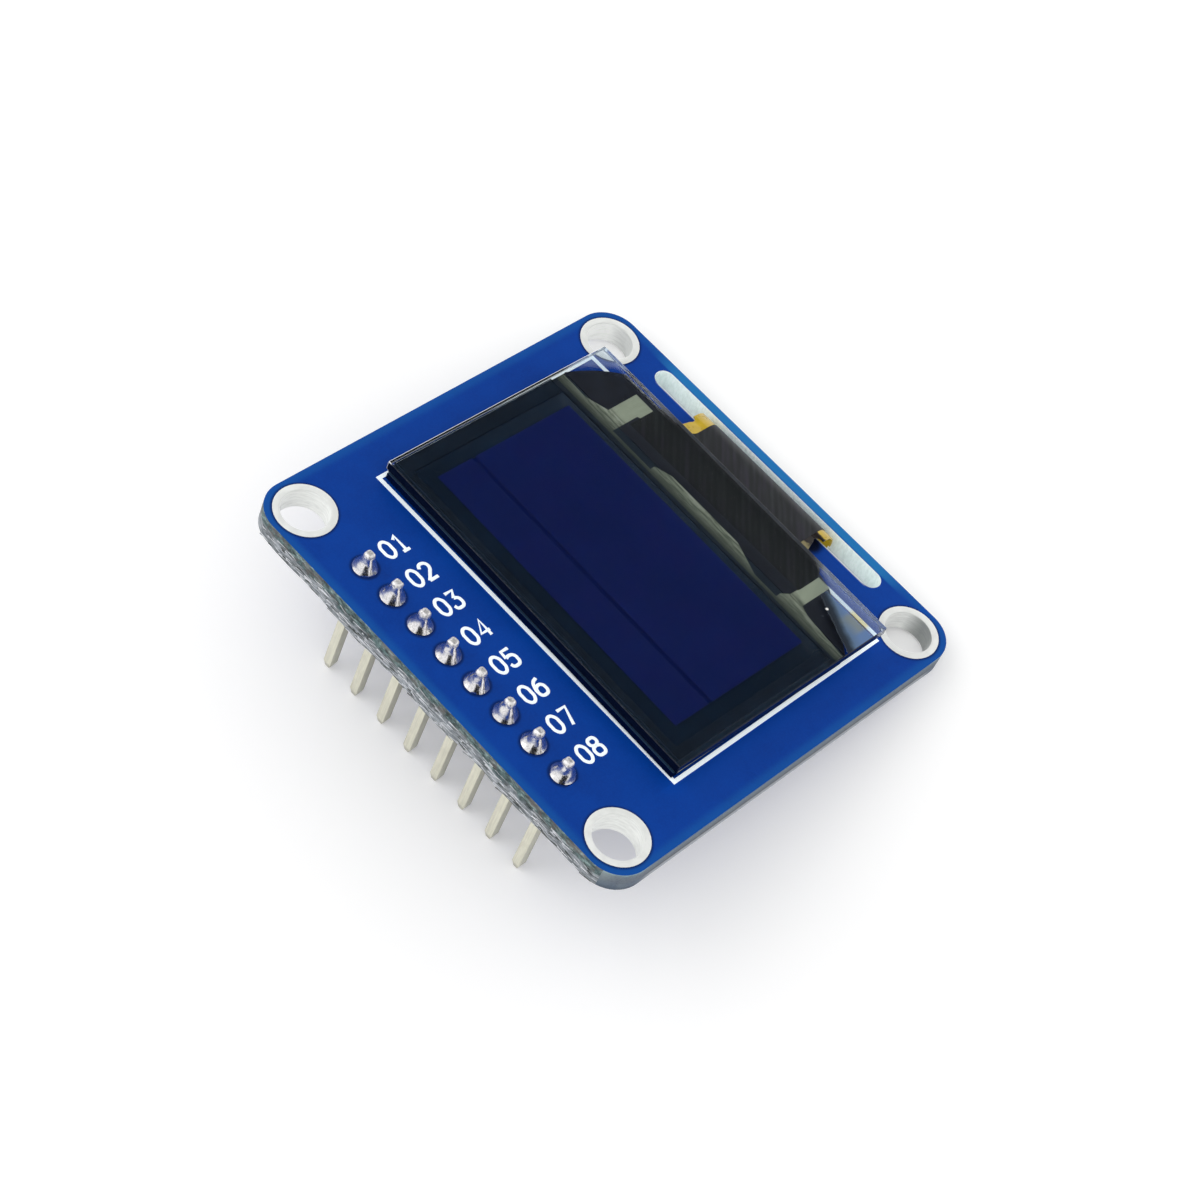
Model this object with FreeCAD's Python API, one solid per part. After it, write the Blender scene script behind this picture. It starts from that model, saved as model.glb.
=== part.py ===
import FreeCAD, Part
import math
import os

# Small OLED display module: a bare glass display panel taped to a circuit board, with its flat
# cable folded through a slot to the back, and a straight row of header pins on the other side.
# Frame: X runs along the header row, Y from the header towards the cable slot, Z up out of the glass.
# The origin is the centre of the four mounting holes, on the board's underside. Sizes are in mm.

# Circuit board
hole_spacing_x = 28.1
hole_spacing_y = 27.2
edge_margin = 2.5
board_thickness = 1.6
corner_radius = 2.3

# Mounting holes with their plated barrels and rings
hole_radius = 1.6
ring_radius = 2.05
plating_wall = 0.05
ring_height = 0.04

# Snapped edge on the header side, where torn glass fibre stands out of the lower half
torn_height = 0.85
torn_reach = 0.26
torn_wave = 7.2
torn_ripple = 2.1
torn_tufts = 36

# Cable slot
slot_end_room = 0.9
slot_width = 1.48
slot_web = 0.72
slot_end_flat = 0.01

# Pin header
pin_count = 8
pin_pitch = 2.54
row_x = 0.08
row_inset = 2.8
pin_side = 0.64
pin_above = 1.4
pin_below = 8.7
pin_taper = 0.55
pin_tip_side = 0.34
pin_cut_chamfer = 0.08
body_height = 2.4
body_depth = 2.4
body_chamfer = 0.42

# Solder on the header pins
drill_radius = 0.5
pad_radius = 0.86
solder_height = 0.95
solder_neck = 0.5
solder_hollow = 0.05

# Display panel, laid on by hand a little askew
panel_width = 26.7
panel_height = 19.26
panel_place_x = -0.22
panel_place_y = 1.66
panel_shift_x = 0.14
panel_shift_y = 0.28
panel_yaw = -0.8
tape_thickness = 0.15
tape_inset = 0.9
cap_thickness = 0.5
cap_overhang = 0.12
cap_inset = 0.2
cap_shift_x = 0.07
ledge_depth = 3.78
seal_thickness = 0.05
seal_width = 1.1
glass_thickness = 0.7
polarizer_thickness = 0.2
polarizer_inset = 0.35
polarizer_near_inset = 0.14
polarizer_far_inset = 1.55
polarizer_skew = 0.1

# Light emitting layer, printed in two bands with a dark line between them
layer_thickness = 0.02
pixel_border_x = 2.4
pixel_border_near = 2.13
pixel_border_far = 1.74
near_band = 2.95
band_gap = 0.32

# Ledge of the front glass: metal film, driver chip and black coating on its underside.
# Insets are measured back from the cap glass's far edge, and rises beyond it.
film_near_inset = 0.8
film_foot_inset = 0.15
film_dip_inset = 0.55
film_crown_rise = 0.3
film_knee_rise = 0.42
film_top_inset = 0.72
film_crown_half = 3.1
film_slope = 1.2
patch_width_left = 1.62
patch_width_right = 1.0
patch_jog = 0.2
patch_jog_near = 1.3
patch_jog_far = 1.2
chip_length = 6.8
chip_width = 0.78
chip_thickness = 0.3
chip_gap = 0.1
coating_thickness = 0.12
coating_side = 0.15
coating_far_inset = 0.12
coating_left_reach = 10.95
coating_left_middle = (12.2, 2.1)
coating_right_reach = 8.9
coating_right_drop = 0.62
coating_right_middle = (11.0, 1.71)
coating_neck_reach = 6.37

# Flat cable: amber film with a black cover layer on its outer face, bonded square to the glass
flex_thickness = 0.12
cover_thickness = 0.03
flex_shift = 0.12
flex_chip_gap = 0.1
flex_wide = 15.68
flex_reach_left = 6.25
flex_reach_right = 5.85
flex_step = 0.3
flex_corner_left = 0.85
flex_corner_right = 1.5
flex_inner_corner = 0.3
cover_shift = 0.11
cover_reach_left = 5.18
cover_reach_right = 4.95
cover_step_left = 0.35
cover_step_right = 0.05
cover_inner_corner = 0.7
flex_wall_gap = 0.34
flex_straight = 0.15
fold_radius = 0.92

# Strain notches beside the bend, the right one deeper and nearer the bend
notch_radius = 0.32
right_notch = 0.5
right_notch_place = 1.4
left_notch = 0.31
left_notch_place = 1.15

# Tail of the cable, under the board
tail_end = 7.6
tail_length = 4.7
tail_side = 0.34
tail_corner = 0.9
cover_back = 2.6

# Soldered cable contacts on the back
contact_count = 30
contact_pitch = 0.62
contact_width = 0.34
contact_length = 2.0
contact_reach = 0.45
contact_height = 0.08

# White printed outline round the panel
outline_line = 0.28
outline_height = 0.03
outline_gap_x = 0.12
outline_gap_y = 0.06

# Small parts on the back
capacitor_count = 5
capacitor_pitch = 3.3
capacitor_y = 4.2
capacitor_size = (0.8, 1.6, 0.8)
resistor_count = 6
resistor_pitch = 2.4
resistor_y = -0.4
resistor_size = (0.8, 1.6, 0.45)
end_cap = 0.32
end_cap_step = 0.025
regulator_x = 9.6
regulator_y = -6.4
regulator_length = 2.9
regulator_width = 1.3
regulator_height = 1.0
regulator_standoff = 0.08
regulator_draft = 0.1
lead_pitch = 0.95
lead_width = 0.4
lead_thickness = 0.14
lead_reach = 0.55

# Places that follow from the sizes above
half_x = hole_spacing_x / 2 + edge_margin
half_y = hole_spacing_y / 2 + edge_margin
board_top = board_thickness
slot_far = half_y - slot_web
slot_y = slot_far - slot_width / 2
row_y = -half_y + row_inset
cap_z = board_top + tape_thickness
seal_z = cap_z + cap_thickness
glass_z = seal_z + seal_thickness
film_z = glass_z - layer_thickness
polarizer_z = glass_z + glass_thickness
panel_x = panel_place_x + panel_shift_x
panel_y = panel_place_y + panel_shift_y
glass_near = -panel_height / 2
glass_far = panel_height / 2
cap_near = glass_near - cap_overhang
cap_far = glass_far - ledge_depth
chip_near = cap_far + chip_gap
flex_lap = glass_far - chip_near - chip_width - flex_chip_gap
flex_start = panel_y + glass_far - flex_lap
drop_y = slot_far - flex_wall_gap
tail_z = -(contact_height + flex_thickness)
fold_z = tail_z + fold_radius
bend_radius = glass_z - fold_z - flex_straight
bend_y = drop_y - bend_radius
tail_width = (contact_count - 1) * contact_pitch + contact_width + 2 * tail_side
slot_length = tail_width + 2 * slot_end_room


def vector(x, y, z=0.0):
    return FreeCAD.Vector(x, y, z)


def block(x0, x1, y0, y1, z0, z1):
    return Part.makeBox(x1 - x0, y1 - y0, z1 - z0, vector(x0, y0, z0))


def round_bar(x, y, z0, z1, radius):
    return Part.makeCylinder(radius, z1 - z0, vector(x, y, z0))


def prism(points, z0, z1):
    corners = [vector(x, y, z0) for x, y in points]
    wire = Part.makePolygon(corners + corners[:1])
    return Part.Face(wire).extrude(vector(0, 0, z1 - z0))


def upright_edges_at(shape, x, y):
    found = []
    for edge in shape.Edges:
        ends = [vertex.Point for vertex in edge.Vertexes]
        if all(math.hypot(point.x - x, point.y - y) < 1e-6 for point in ends):
            found.append(edge)
    return found


def rounded_plate(x0, x1, y0, y1, z0, z1, radius):
    plate = block(x0, x1, y0, y1, z0, z1)
    edges = []
    for x in (x0, x1):
        for y in (y0, y1):
            edges += upright_edges_at(plate, x, y)
    return plate.makeFillet(radius, edges)


def square_taper(side_low, side_high, z_low, z_high):
    wires = []
    for side, z in ((side_low, z_low), (side_high, z_high)):
        h = side / 2
        corners = [vector(-h, -h, z), vector(h, -h, z), vector(h, h, z), vector(-h, h, z)]
        wires.append(Part.makePolygon(corners + corners[:1]))
    return Part.makeLoft(wires, True, True)


def fuse(shapes):
    whole = shapes[0]
    for shape in shapes[1:]:
        whole = whole.fuse(shape)
    return whole.removeSplitter()


def on_panel(shape):
    placed = shape.copy()
    placed.rotate(vector(0, 0), vector(0, 0, 1), panel_yaw)
    placed.translate(vector(panel_x, panel_y))
    return placed


def pin_places():
    return [(row_x + (i - (pin_count - 1) / 2) * pin_pitch, row_y) for i in range(pin_count)]


def hole_places():
    return [(x, y) for y in (-hole_spacing_y / 2, hole_spacing_y / 2)
            for x in (-hole_spacing_x / 2, hole_spacing_x / 2)]


# Circuit board
def torn_depth(x, reach):
    fade = math.cos(math.pi * x / (2 * reach)) ** 0.5
    swell = 0.5 + 0.35 * math.sin(2 * math.pi * x / torn_wave + 0.9)
    ripple = 0.15 * math.sin(2 * math.pi * x / torn_ripple)
    return torn_reach * fade * (swell + ripple)


def torn_fibres():
    reach = half_x - corner_radius
    crest = [(-reach, -half_y)]
    for i in range(1, torn_tufts):
        x = -reach + 2 * reach * i / torn_tufts
        crest.append((x, -half_y - torn_depth(x, reach)))
    crest.append((reach, -half_y))
    inner = -half_y + torn_reach
    return prism(crest + [(reach, inner), (-reach, inner)], 0, torn_height)


def cable_slot():
    return rounded_plate(-slot_length / 2, slot_length / 2, slot_far - slot_width, slot_far,
                         -1, board_top + 1, (slot_width - slot_end_flat) / 2)


def circuit_board():
    plate = rounded_plate(-half_x, half_x, -half_y, half_y, 0, board_top, corner_radius)
    plate = fuse([plate, torn_fibres()])
    for x, y in hole_places():
        plate = plate.cut(round_bar(x, y, -1, board_top + 1, hole_radius + plating_wall))
    for x, y in pin_places():
        plate = plate.cut(round_bar(x, y, -1, board_top + 1, drill_radius))
    return plate.cut(cable_slot())


def hole_plating(x, y):
    barrel = round_bar(x, y, -ring_height, board_top + ring_height, hole_radius + plating_wall)
    upper = round_bar(x, y, board_top, board_top + ring_height, ring_radius)
    lower = round_bar(x, y, -ring_height, 0, ring_radius)
    bore = round_bar(x, y, -1, board_top + 1, hole_radius)
    return fuse([barrel, upper, lower]).cut(bore)


def printed_outline():
    x = panel_width / 2 + outline_gap_x
    y = panel_height / 2 + outline_gap_y
    z = board_top
    outer = block(-x, x, -y, y, z, z + outline_height)
    inner = block(-x + outline_line, x - outline_line, -y + outline_line, y - outline_line, z - 1, z + 1)
    frame = outer.cut(inner)
    frame.translate(vector(panel_place_x, panel_place_y))
    return frame


# Pin header and its solder
def pin_stock(x, y):
    h = pin_side / 2
    return block(x - h, x + h, y - h, y + h, -pin_below, board_top + pin_above)


def header_pin(x, y):
    low = -pin_below
    top = board_top + pin_above
    tip = square_taper(pin_tip_side, pin_side, low, low + pin_taper)
    h = pin_side / 2
    shank = block(-h, h, -h, h, low + pin_taper, top - pin_cut_chamfer)
    cut_end = square_taper(pin_side, pin_side - 2 * pin_cut_chamfer, top - pin_cut_chamfer, top)
    pin = fuse([tip, shank, cut_end])
    pin.translate(vector(x, y))
    return pin


def header_body():
    h = pin_pitch / 2
    d = body_depth / 2
    c = body_chamfer
    cell = [(-h, -d + c), (-h + c, -d), (h - c, -d), (h, -d + c),
            (h, d - c), (h - c, d), (-h + c, d), (-h, d - c)]
    cells = []
    for x, y in pin_places():
        cells.append(prism([(x + px, y + py) for px, py in cell], -body_height, 0))
    body = fuse(cells)
    for x, y in pin_places():
        body = body.cut(pin_stock(x, y))
    return body


def solder_joint(x, y):
    crown = board_top + solder_height
    middle = vector((pad_radius + solder_neck) / 2 - solder_hollow, 0,
                    (board_top + crown) / 2 - solder_hollow)
    low_side = Part.makePolygon([vector(0, 0, 0), vector(drill_radius, 0, 0),
                                 vector(drill_radius, 0, board_top), vector(pad_radius, 0, board_top)])
    slope = Part.Arc(vector(pad_radius, 0, board_top), middle, vector(solder_neck, 0, crown)).toShape()
    close = Part.makePolygon([vector(solder_neck, 0, crown), vector(0, 0, crown), vector(0, 0, 0)])
    profile = Part.Face(Part.Wire(low_side.Edges + [slope] + close.Edges))
    joint = profile.revolve(vector(0, 0), vector(0, 0, 1), 360)
    joint.translate(vector(x, y))
    return joint.cut(pin_stock(x, y))


# Display panel
def cap_block(inset, z0, z1):
    x = panel_width / 2 - cap_inset - inset
    plate = block(-x, x, cap_near + inset, cap_far - inset, z0, z1)
    plate.translate(vector(cap_shift_x, 0))
    return on_panel(plate)


def panel_tape():
    return cap_block(tape_inset, board_top, cap_z)


def cap_glass():
    return cap_block(0, cap_z, seal_z)


def front_glass():
    x = panel_width / 2
    return on_panel(block(-x, x, glass_near, glass_far, glass_z, polarizer_z))


def polarizer():
    x = panel_width / 2 - polarizer_inset
    near = glass_near + polarizer_near_inset
    far = cap_far - polarizer_far_inset
    outline = [(-x, near), (x, near), (x, far + polarizer_skew), (-x, far - polarizer_skew)]
    return on_panel(prism(outline, polarizer_z, polarizer_z + polarizer_thickness))


def pixel_layer():
    x = panel_width / 2 - pixel_border_x
    near = glass_near + pixel_border_near
    split = near + near_band
    far = cap_far - pixel_border_far
    bands = [block(-x, x, near, split, film_z, glass_z),
             block(-x, x, split + band_gap, far, film_z, glass_z)]
    return on_panel(Part.makeCompound(bands))


def film_outline():
    # Starts at the near left corner and goes round against the clock, as seen from above.
    side = panel_width / 2 - cap_inset
    near = cap_far - film_near_inset
    foot = cap_far - film_foot_inset
    dip = cap_far - film_dip_inset
    knee = cap_far + film_knee_rise
    crown = cap_far + film_crown_rise
    top = glass_far - film_top_inset
    left_in = flex_shift - flex_wide / 2
    left_out = left_in - patch_width_left
    right_in = flex_shift + flex_wide / 2
    right_out = right_in + patch_width_right
    jog = left_in - patch_jog
    right_side = [(side, near), (side, foot), (right_out + 0.7, foot + 0.3), (right_out, knee),
                  (right_out, top), (right_in, top), (right_in - 0.1, knee), (right_in - 0.5, foot),
                  (right_in - 0.5, dip)]
    middle = [(film_crown_half + 2 * film_slope, dip), (film_crown_half, crown),
              (-film_crown_half, crown), (-film_crown_half - film_slope, foot),
              (-film_crown_half - film_slope, dip)]
    left_side = [(jog, dip), (jog, top - patch_jog_near), (left_in, top - patch_jog_far), (left_in, top),
                 (left_out, top), (left_out, knee), (left_out - 1.6, foot), (-side, foot), (-side, near)]
    return right_side + middle + left_side


def trace_film():
    film = on_panel(prism(film_outline(), film_z, glass_z))
    return film.cut(cable_on_ledge())


def panel_seal():
    x = panel_width / 2 - cap_inset
    w = seal_width
    outer = block(-x, x, glass_near, cap_far, seal_z, glass_z)
    inner = block(-x + w, x - w, glass_near + w, cap_far - w, seal_z - 1, glass_z + 1)
    return on_panel(outer.cut(inner)).cut(trace_film())


def driver_chip():
    x = chip_length / 2
    return on_panel(block(-x, x, chip_near, chip_near + chip_width, film_z - chip_thickness, film_z))


def coating_outline():
    # Each end of the coating was brushed on in a curve, which leaves the glass's far corners clear.
    side = panel_width / 2 - coating_side
    near = cap_far + chip_gap / 2
    far = glass_far - coating_far_inset
    left_x, left_rise = coating_left_middle
    right_x, right_rise = coating_right_middle
    left_far = vector(-coating_left_reach, far)
    left_near = vector(-side, near)
    right_far = vector(coating_right_reach, far - coating_right_drop)
    right_near = vector(side, near)
    left = Part.Arc(left_far, vector(-left_x, cap_far + left_rise), left_near).toShape()
    right = Part.Arc(right_near, vector(right_x, cap_far + right_rise), right_far).toShape()
    bottom = Part.makePolygon([left_near, right_near])
    top = Part.makePolygon([right_far, vector(coating_neck_reach, far), left_far])
    return Part.Face(Part.Wire([left] + bottom.Edges + [right] + top.Edges))


def ledge_coating():
    face = coating_outline()
    face.translate(vector(0, 0, glass_z - coating_thickness))
    coat = on_panel(face.extrude(vector(0, 0, coating_thickness)))
    return coat.cut(trace_film()).cut(driver_chip()).cut(cable_on_ledge())


# Flat cable
def cable_face(depth):
    # One face of the cable, seen along X, at the given depth below its outer face.
    top = glass_z - depth
    bend_z = glass_z - bend_radius
    bend_r = bend_radius - depth
    fold_r = fold_radius - depth
    fold_y = drop_y - fold_radius
    s = math.sqrt(0.5)
    start = vector(0, flex_start, top)
    bend_top = vector(0, bend_y, top)
    bend_middle = vector(0, bend_y + bend_r * s, bend_z + bend_r * s)
    bend_end = vector(0, bend_y + bend_r, bend_z)
    fold_top = vector(0, fold_y + fold_r, fold_z)
    fold_middle = vector(0, fold_y + fold_r * s, fold_z - fold_r * s)
    fold_end = vector(0, fold_y, fold_z - fold_r)
    end = vector(0, tail_end, tail_z + depth)
    edges = [Part.makeLine(start, bend_top), Part.Arc(bend_top, bend_middle, bend_end).toShape(),
             Part.makeLine(bend_end, fold_top), Part.Arc(fold_top, fold_middle, fold_end).toShape(),
             Part.makeLine(fold_end, end)]
    return edges, start, end


def cable_layer(depth_out, depth_in):
    outer, start_out, end_out = cable_face(depth_out)
    inner, start_in, end_in = cable_face(depth_in)
    ends = [Part.makeLine(start_out, start_in), Part.makeLine(end_out, end_in)]
    wire = Part.Wire(Part.__sortEdges__(outer + inner + ends))
    layer = Part.Face(wire).extrude(vector(tail_width, 0, 0))
    layer.translate(vector(row_x - tail_width / 2, 0, 0))
    return layer


def stepped_half(side, wide, reach, y_near, y_step, y_far, z_span, corner, inner_corner):
    # One side of a sheet that steps in from its wide part to its neck, measured from x = 0.
    z0, z1 = z_span
    w = side * wide / 2
    n = side * reach
    sheet = block(min(0, w), max(0, w), y_near, y_step, z0, z1)
    sheet = sheet.makeFillet(corner, upright_edges_at(sheet, w, y_step))
    strip = block(min(0, n), max(0, n), y_near, y_far, z0, z1)
    x = n + side * inner_corner
    y = y_step + inner_corner
    web = block(min(n, x), max(n, x), y_step - 0.01, y, z0, z1)
    web = web.cut(round_bar(x, y, z0 - 1, z1 + 1, inner_corner))
    return sheet.fuse(strip).fuse(web)


def upper_outline(reaches, steps, shift, inner_corner):
    # Plan of the cable from the glass to the bend, as a tall prism. It is square to the glass.
    near = glass_far - flex_lap - 1
    far = glass_far + half_y - ledge_depth
    z_span = (fold_z, glass_z + 1)
    halves = []
    sides = ((-1, reaches[0], steps[0], flex_corner_left), (1, reaches[1], steps[1], flex_corner_right))
    for side, reach, step, corner in sides:
        y_step = glass_far + step
        wide = flex_wide - 2 * side * shift
        halves.append(stepped_half(side, wide, reach, near, y_step, far, z_span, corner, inner_corner))
    whole = halves[0].fuse(halves[1])
    whole.translate(vector(flex_shift + shift, 0))
    return on_panel(whole)


def ledge_outline_of_cable():
    reaches = (flex_reach_left, flex_reach_right)
    return upper_outline(reaches, (flex_step, flex_step), 0, flex_inner_corner)


def cable_on_ledge():
    # The room that the cable and its cover take up under the glass.
    return cable_layer(0, flex_thickness).common(ledge_outline_of_cable())


def tail_outline(y_near, reaches):
    # Plan of the cable from the fold to its soldered end, as a prism below the board.
    y_step = tail_end + tail_length
    z_span = (tail_z - 1, fold_z)
    halves = []
    for side, reach in ((-1, reaches[0]), (1, reaches[1])):
        halves.append(stepped_half(side, tail_width, reach, y_near, y_step, half_y, z_span,
                                   tail_corner, flex_inner_corner))
    whole = halves[0].fuse(halves[1])
    whole.translate(vector(row_x, 0))
    return whole


def cable_notch(side, reach, depth, place):
    edge = flex_shift + side * reach
    x = edge - side * (depth - notch_radius)
    y = glass_far + flex_step + place
    s = notch_radius * math.sqrt(0.5)
    hollow = round_bar(x, y, fold_z, glass_z + 1, notch_radius)
    mouth = prism([(x - side * s, y - s), (edge, glass_far + flex_step), (edge + side, glass_far + flex_step),
                   (edge + side, y + notch_radius + s), (edge, y + notch_radius), (x, y + notch_radius)],
                  fold_z, glass_z + 1)
    return on_panel(hollow.fuse(mouth))


def with_notches(ribbon):
    left = cable_notch(-1, flex_reach_left, left_notch, left_notch_place)
    right = cable_notch(1, flex_reach_right, right_notch, right_notch_place)
    return ribbon.cut(left).cut(right).removeSplitter()


def flex_cable():
    outline = ledge_outline_of_cable().fuse(tail_outline(tail_end - 1, (flex_reach_left, flex_reach_right)))
    return with_notches(cable_layer(cover_thickness, flex_thickness).common(outline))


def flex_cover():
    steps = (cover_step_left, cover_step_right)
    reaches = (cover_reach_left, cover_reach_right)
    upper = upper_outline(reaches, steps, cover_shift, cover_inner_corner)
    outline = upper.common(ledge_outline_of_cable()).fuse(tail_outline(tail_end + cover_back, reaches))
    return with_notches(cable_layer(0, cover_thickness).common(outline))


def contact_solder():
    joints = []
    y0 = tail_end - contact_reach
    for i in range(contact_count):
        x = row_x + (i - (contact_count - 1) / 2) * contact_pitch
        h = contact_width / 2
        joints.append(block(x - h, x + h, y0, y0 + contact_length, -contact_height, 0))
    return Part.makeCompound(joints)


# Small parts on the back
def chip_part(x, y, size):
    width, length, height = size
    s = end_cap_step
    core = block(-width / 2, width / 2, -length / 2, length / 2, -height, -s)
    caps = []
    for y0 in (-length / 2 - s, length / 2 + s - end_cap):
        caps.append(block(-width / 2 - s, width / 2 + s, y0, y0 + end_cap, -height - s, 0))
    part = fuse([core] + caps)
    part.translate(vector(x, y, 0))
    return part


def regulator():
    l = regulator_length / 2
    w = regulator_width / 2
    d = regulator_draft
    top = -regulator_standoff
    low = -regulator_height
    middle = (top + low) / 2
    wide = Part.makePolygon([vector(-l, -w, middle), vector(l, -w, middle), vector(l, w, middle),
                             vector(-l, w, middle), vector(-l, -w, middle)])
    halves = []
    for z in (low, top):
        x = l - d
        y = w - d
        narrow = Part.makePolygon([vector(-x, -y, z), vector(x, -y, z), vector(x, y, z),
                                   vector(-x, y, z), vector(-x, -y, z)])
        halves.append(Part.makeLoft([wide, narrow], True, True))
    leads = [gull_lead(-lead_pitch, -1), gull_lead(lead_pitch, -1), gull_lead(0, 1)]
    part = fuse(halves + leads)
    part.translate(vector(regulator_x, regulator_y, 0))
    return part


def gull_lead(x, side):
    t = lead_thickness
    middle = -(regulator_standoff + regulator_height) / 2
    root = regulator_width / 2 - regulator_draft
    knee = regulator_width / 2 + t
    toe = regulator_width / 2 + lead_reach
    shape = [(root, middle - t / 2), (knee, middle - t / 2), (knee + t, -t), (toe, -t), (toe, 0),
             (knee, 0), (knee - t, middle + t / 2), (root, middle + t / 2)]
    corners = [vector(x - lead_width / 2, side * y, z) for y, z in shape]
    wire = Part.makePolygon(corners + corners[:1])
    return Part.Face(wire).extrude(vector(lead_width, 0, 0))


def row_of(count, pitch):
    return [row_x + (i - (count - 1) / 2) * pitch for i in range(count)]


def build_parts():
    parts = {
        "circuit_board": circuit_board(),
        "printed_outline": printed_outline(),
        "header_body": header_body(),
        "panel_tape": panel_tape(),
        "cap_glass": cap_glass(),
        "panel_seal": panel_seal(),
        "pixel_layer": pixel_layer(),
        "trace_film": trace_film(),
        "driver_chip": driver_chip(),
        "ledge_coating": ledge_coating(),
        "front_glass": front_glass(),
        "polarizer": polarizer(),
        "flex_cable": flex_cable(),
        "flex_cover": flex_cover(),
        "contact_solder": contact_solder(),
        "regulator": regulator(),
    }
    for i, (x, y) in enumerate(hole_places(), 1):
        parts["hole_plating_%d" % i] = hole_plating(x, y)
    for i, (x, y) in enumerate(pin_places(), 1):
        parts["header_pin_%d" % i] = header_pin(x, y)
        parts["solder_joint_%d" % i] = solder_joint(x, y)
    for i, x in enumerate(row_of(capacitor_count, capacitor_pitch), 1):
        parts["capacitor_%d" % i] = chip_part(x, capacitor_y, capacitor_size)
    for i, x in enumerate(row_of(resistor_count, resistor_pitch), 1):
        parts["resistor_%d" % i] = chip_part(x, resistor_y, resistor_size)
    return parts


os.makedirs("parts", exist_ok=True)
for name, shape in build_parts().items():
    shape.exportStep("parts/%s.step" % name)
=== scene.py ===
import math
import random

import bmesh
import bpy
from mathutils import Matrix, Vector, noise
from mathutils.bvhtree import BVHTree


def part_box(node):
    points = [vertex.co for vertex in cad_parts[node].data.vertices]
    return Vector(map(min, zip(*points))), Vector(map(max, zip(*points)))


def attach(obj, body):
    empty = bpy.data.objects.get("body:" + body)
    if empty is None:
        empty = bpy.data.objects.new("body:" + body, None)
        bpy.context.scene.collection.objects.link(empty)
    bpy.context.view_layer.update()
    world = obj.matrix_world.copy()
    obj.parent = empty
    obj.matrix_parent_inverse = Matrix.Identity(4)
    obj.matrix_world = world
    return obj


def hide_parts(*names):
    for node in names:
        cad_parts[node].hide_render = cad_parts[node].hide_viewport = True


bl_info = {
    "name": "Small OLED Display Module",
    "version": (1, 0, 0),
    "blender": (4, 5, 0),
    "location": "3D View > Sidebar > Display Module",
    "description": "Finishes the solids of a small display module and sets up its studio",
    "category": "Object",
}

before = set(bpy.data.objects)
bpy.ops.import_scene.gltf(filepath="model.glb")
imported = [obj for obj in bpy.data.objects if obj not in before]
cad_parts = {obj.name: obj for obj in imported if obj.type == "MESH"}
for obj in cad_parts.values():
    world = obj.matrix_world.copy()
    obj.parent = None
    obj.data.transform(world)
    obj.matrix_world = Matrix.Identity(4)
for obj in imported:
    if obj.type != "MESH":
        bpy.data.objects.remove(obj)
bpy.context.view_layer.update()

# Places and sizes on the module, in mm.
MM = 0.001
BOARD_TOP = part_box("circuit_board")[1].z / MM
SNAPPED_SIDE = -15.95
CUT_SIDE = 16.3
HOLE_X = 14.05
HOLE_Y = 13.6
RING = 2.05
SLOT_SPAN = 10.4
SLOT_NEAR = 13.90
SLOT_FAR = 15.38
NOTCH = (5.55, 13.2)
PINS = 8
PITCH = 2.54
ROW_X = 0.08
ROW_Y = -13.3
FIRST_PIN_X = ROW_X - (PINS - 1) / 2 * PITCH
PIN_TIP = -8.55
PAD = 0.84
RIB_SLANT = math.radians(44)
RIB_PITCH = 0.42

# Places on the panel, in mm from its own centre.
PANEL_TURN = math.radians(-0.8)
PANEL_CENTRE = (-0.08, 1.94)
LEDGE = 5.85
GLASS_SIDE = 13.2
GLASS_FACE = 2.95
LEDGE_DOT = (10.13, 7.2)
PIXEL_WIDE = 0.171
PIXEL_TALL = 0.185

STRANDS = 420
OUTLINE_SHIFT = 0.15


def linear(red, green, blue):
    """A colour given as it looks on screen, 0 to 255, in the values that a shader takes."""
    channels = [c / 255 for c in (red, green, blue)]
    return tuple(c / 12.92 if c <= 0.04045 else ((c + 0.055) / 1.055) ** 2.4 for c in channels)


def tone(shade, gain):
    return tuple(min(1.0, c * gain) for c in shade)


def colour_of(name, description, shade):
    return bpy.props.FloatVectorProperty(name=name, description=description, subtype="COLOR",
                                         default=linear(*shade), min=0, max=1)


def length_of(name, description, size):
    return bpy.props.FloatProperty(name=name, description=description, default=size * MM,
                                   unit="LENGTH", precision=5, min=0)


def number_of(name, description, value, low=0, **limits):
    return bpy.props.FloatProperty(name=name, description=description, default=value, min=low,
                                   **limits)


class BoardSettings(bpy.types.PropertyGroup):
    mask: colour_of("Solder mask", "Blue of the board over its copper", (0, 60, 150))
    mask_dark: colour_of("Mask shade", "Darker blue of the mask's mottling", (0, 54, 140))
    mask_bright: colour_of("Mask over bare fibre", "Blue beyond the slot, where light comes through",
                           (30, 113, 178))
    fibre: colour_of("Glass fibre", "Pale strands at the board's snapped edge", (164, 170, 178))
    cut_resin: colour_of("Cut edge", "Bluish grey of the board's routed edges", (92, 108, 128))
    slot_wall: colour_of("Slot wall", "Milled wall of the cable slot", (240, 250, 246))
    tin: colour_of("Tinned ring", "Plating of the mounting holes", (238, 240, 237))


class PrintSettings(bpy.types.PropertyGroup):
    ink: colour_of("Ink", "White of the outline and the pin numbers", (241, 250, 255))
    height: length_of("Digit height", "Height of a pin number's digits", 1.27)
    stroke: length_of("Stroke", "Width of a digit's line", 0.23)
    advance: length_of("Advance", "Distance from one digit to the next", 1.03)


class HeaderSettings(bpy.types.PropertyGroup):
    pin: colour_of("Pin plating", "Pale plating of the header pins", (230, 228, 209))
    plastic: colour_of("Header body", "Moulded plastic of the header", (26, 26, 28))
    solder: colour_of("Solder", "Bright solder round each pin", (226, 224, 224))
    foot: length_of("Solder foot", "Radius of a joint on the board", 0.82)
    rise: length_of("Solder height", "Height of a joint above the board", 1.16)
    neck: length_of("Solder neck", "Radius of a joint where it meets the pin", 0.34)


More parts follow.
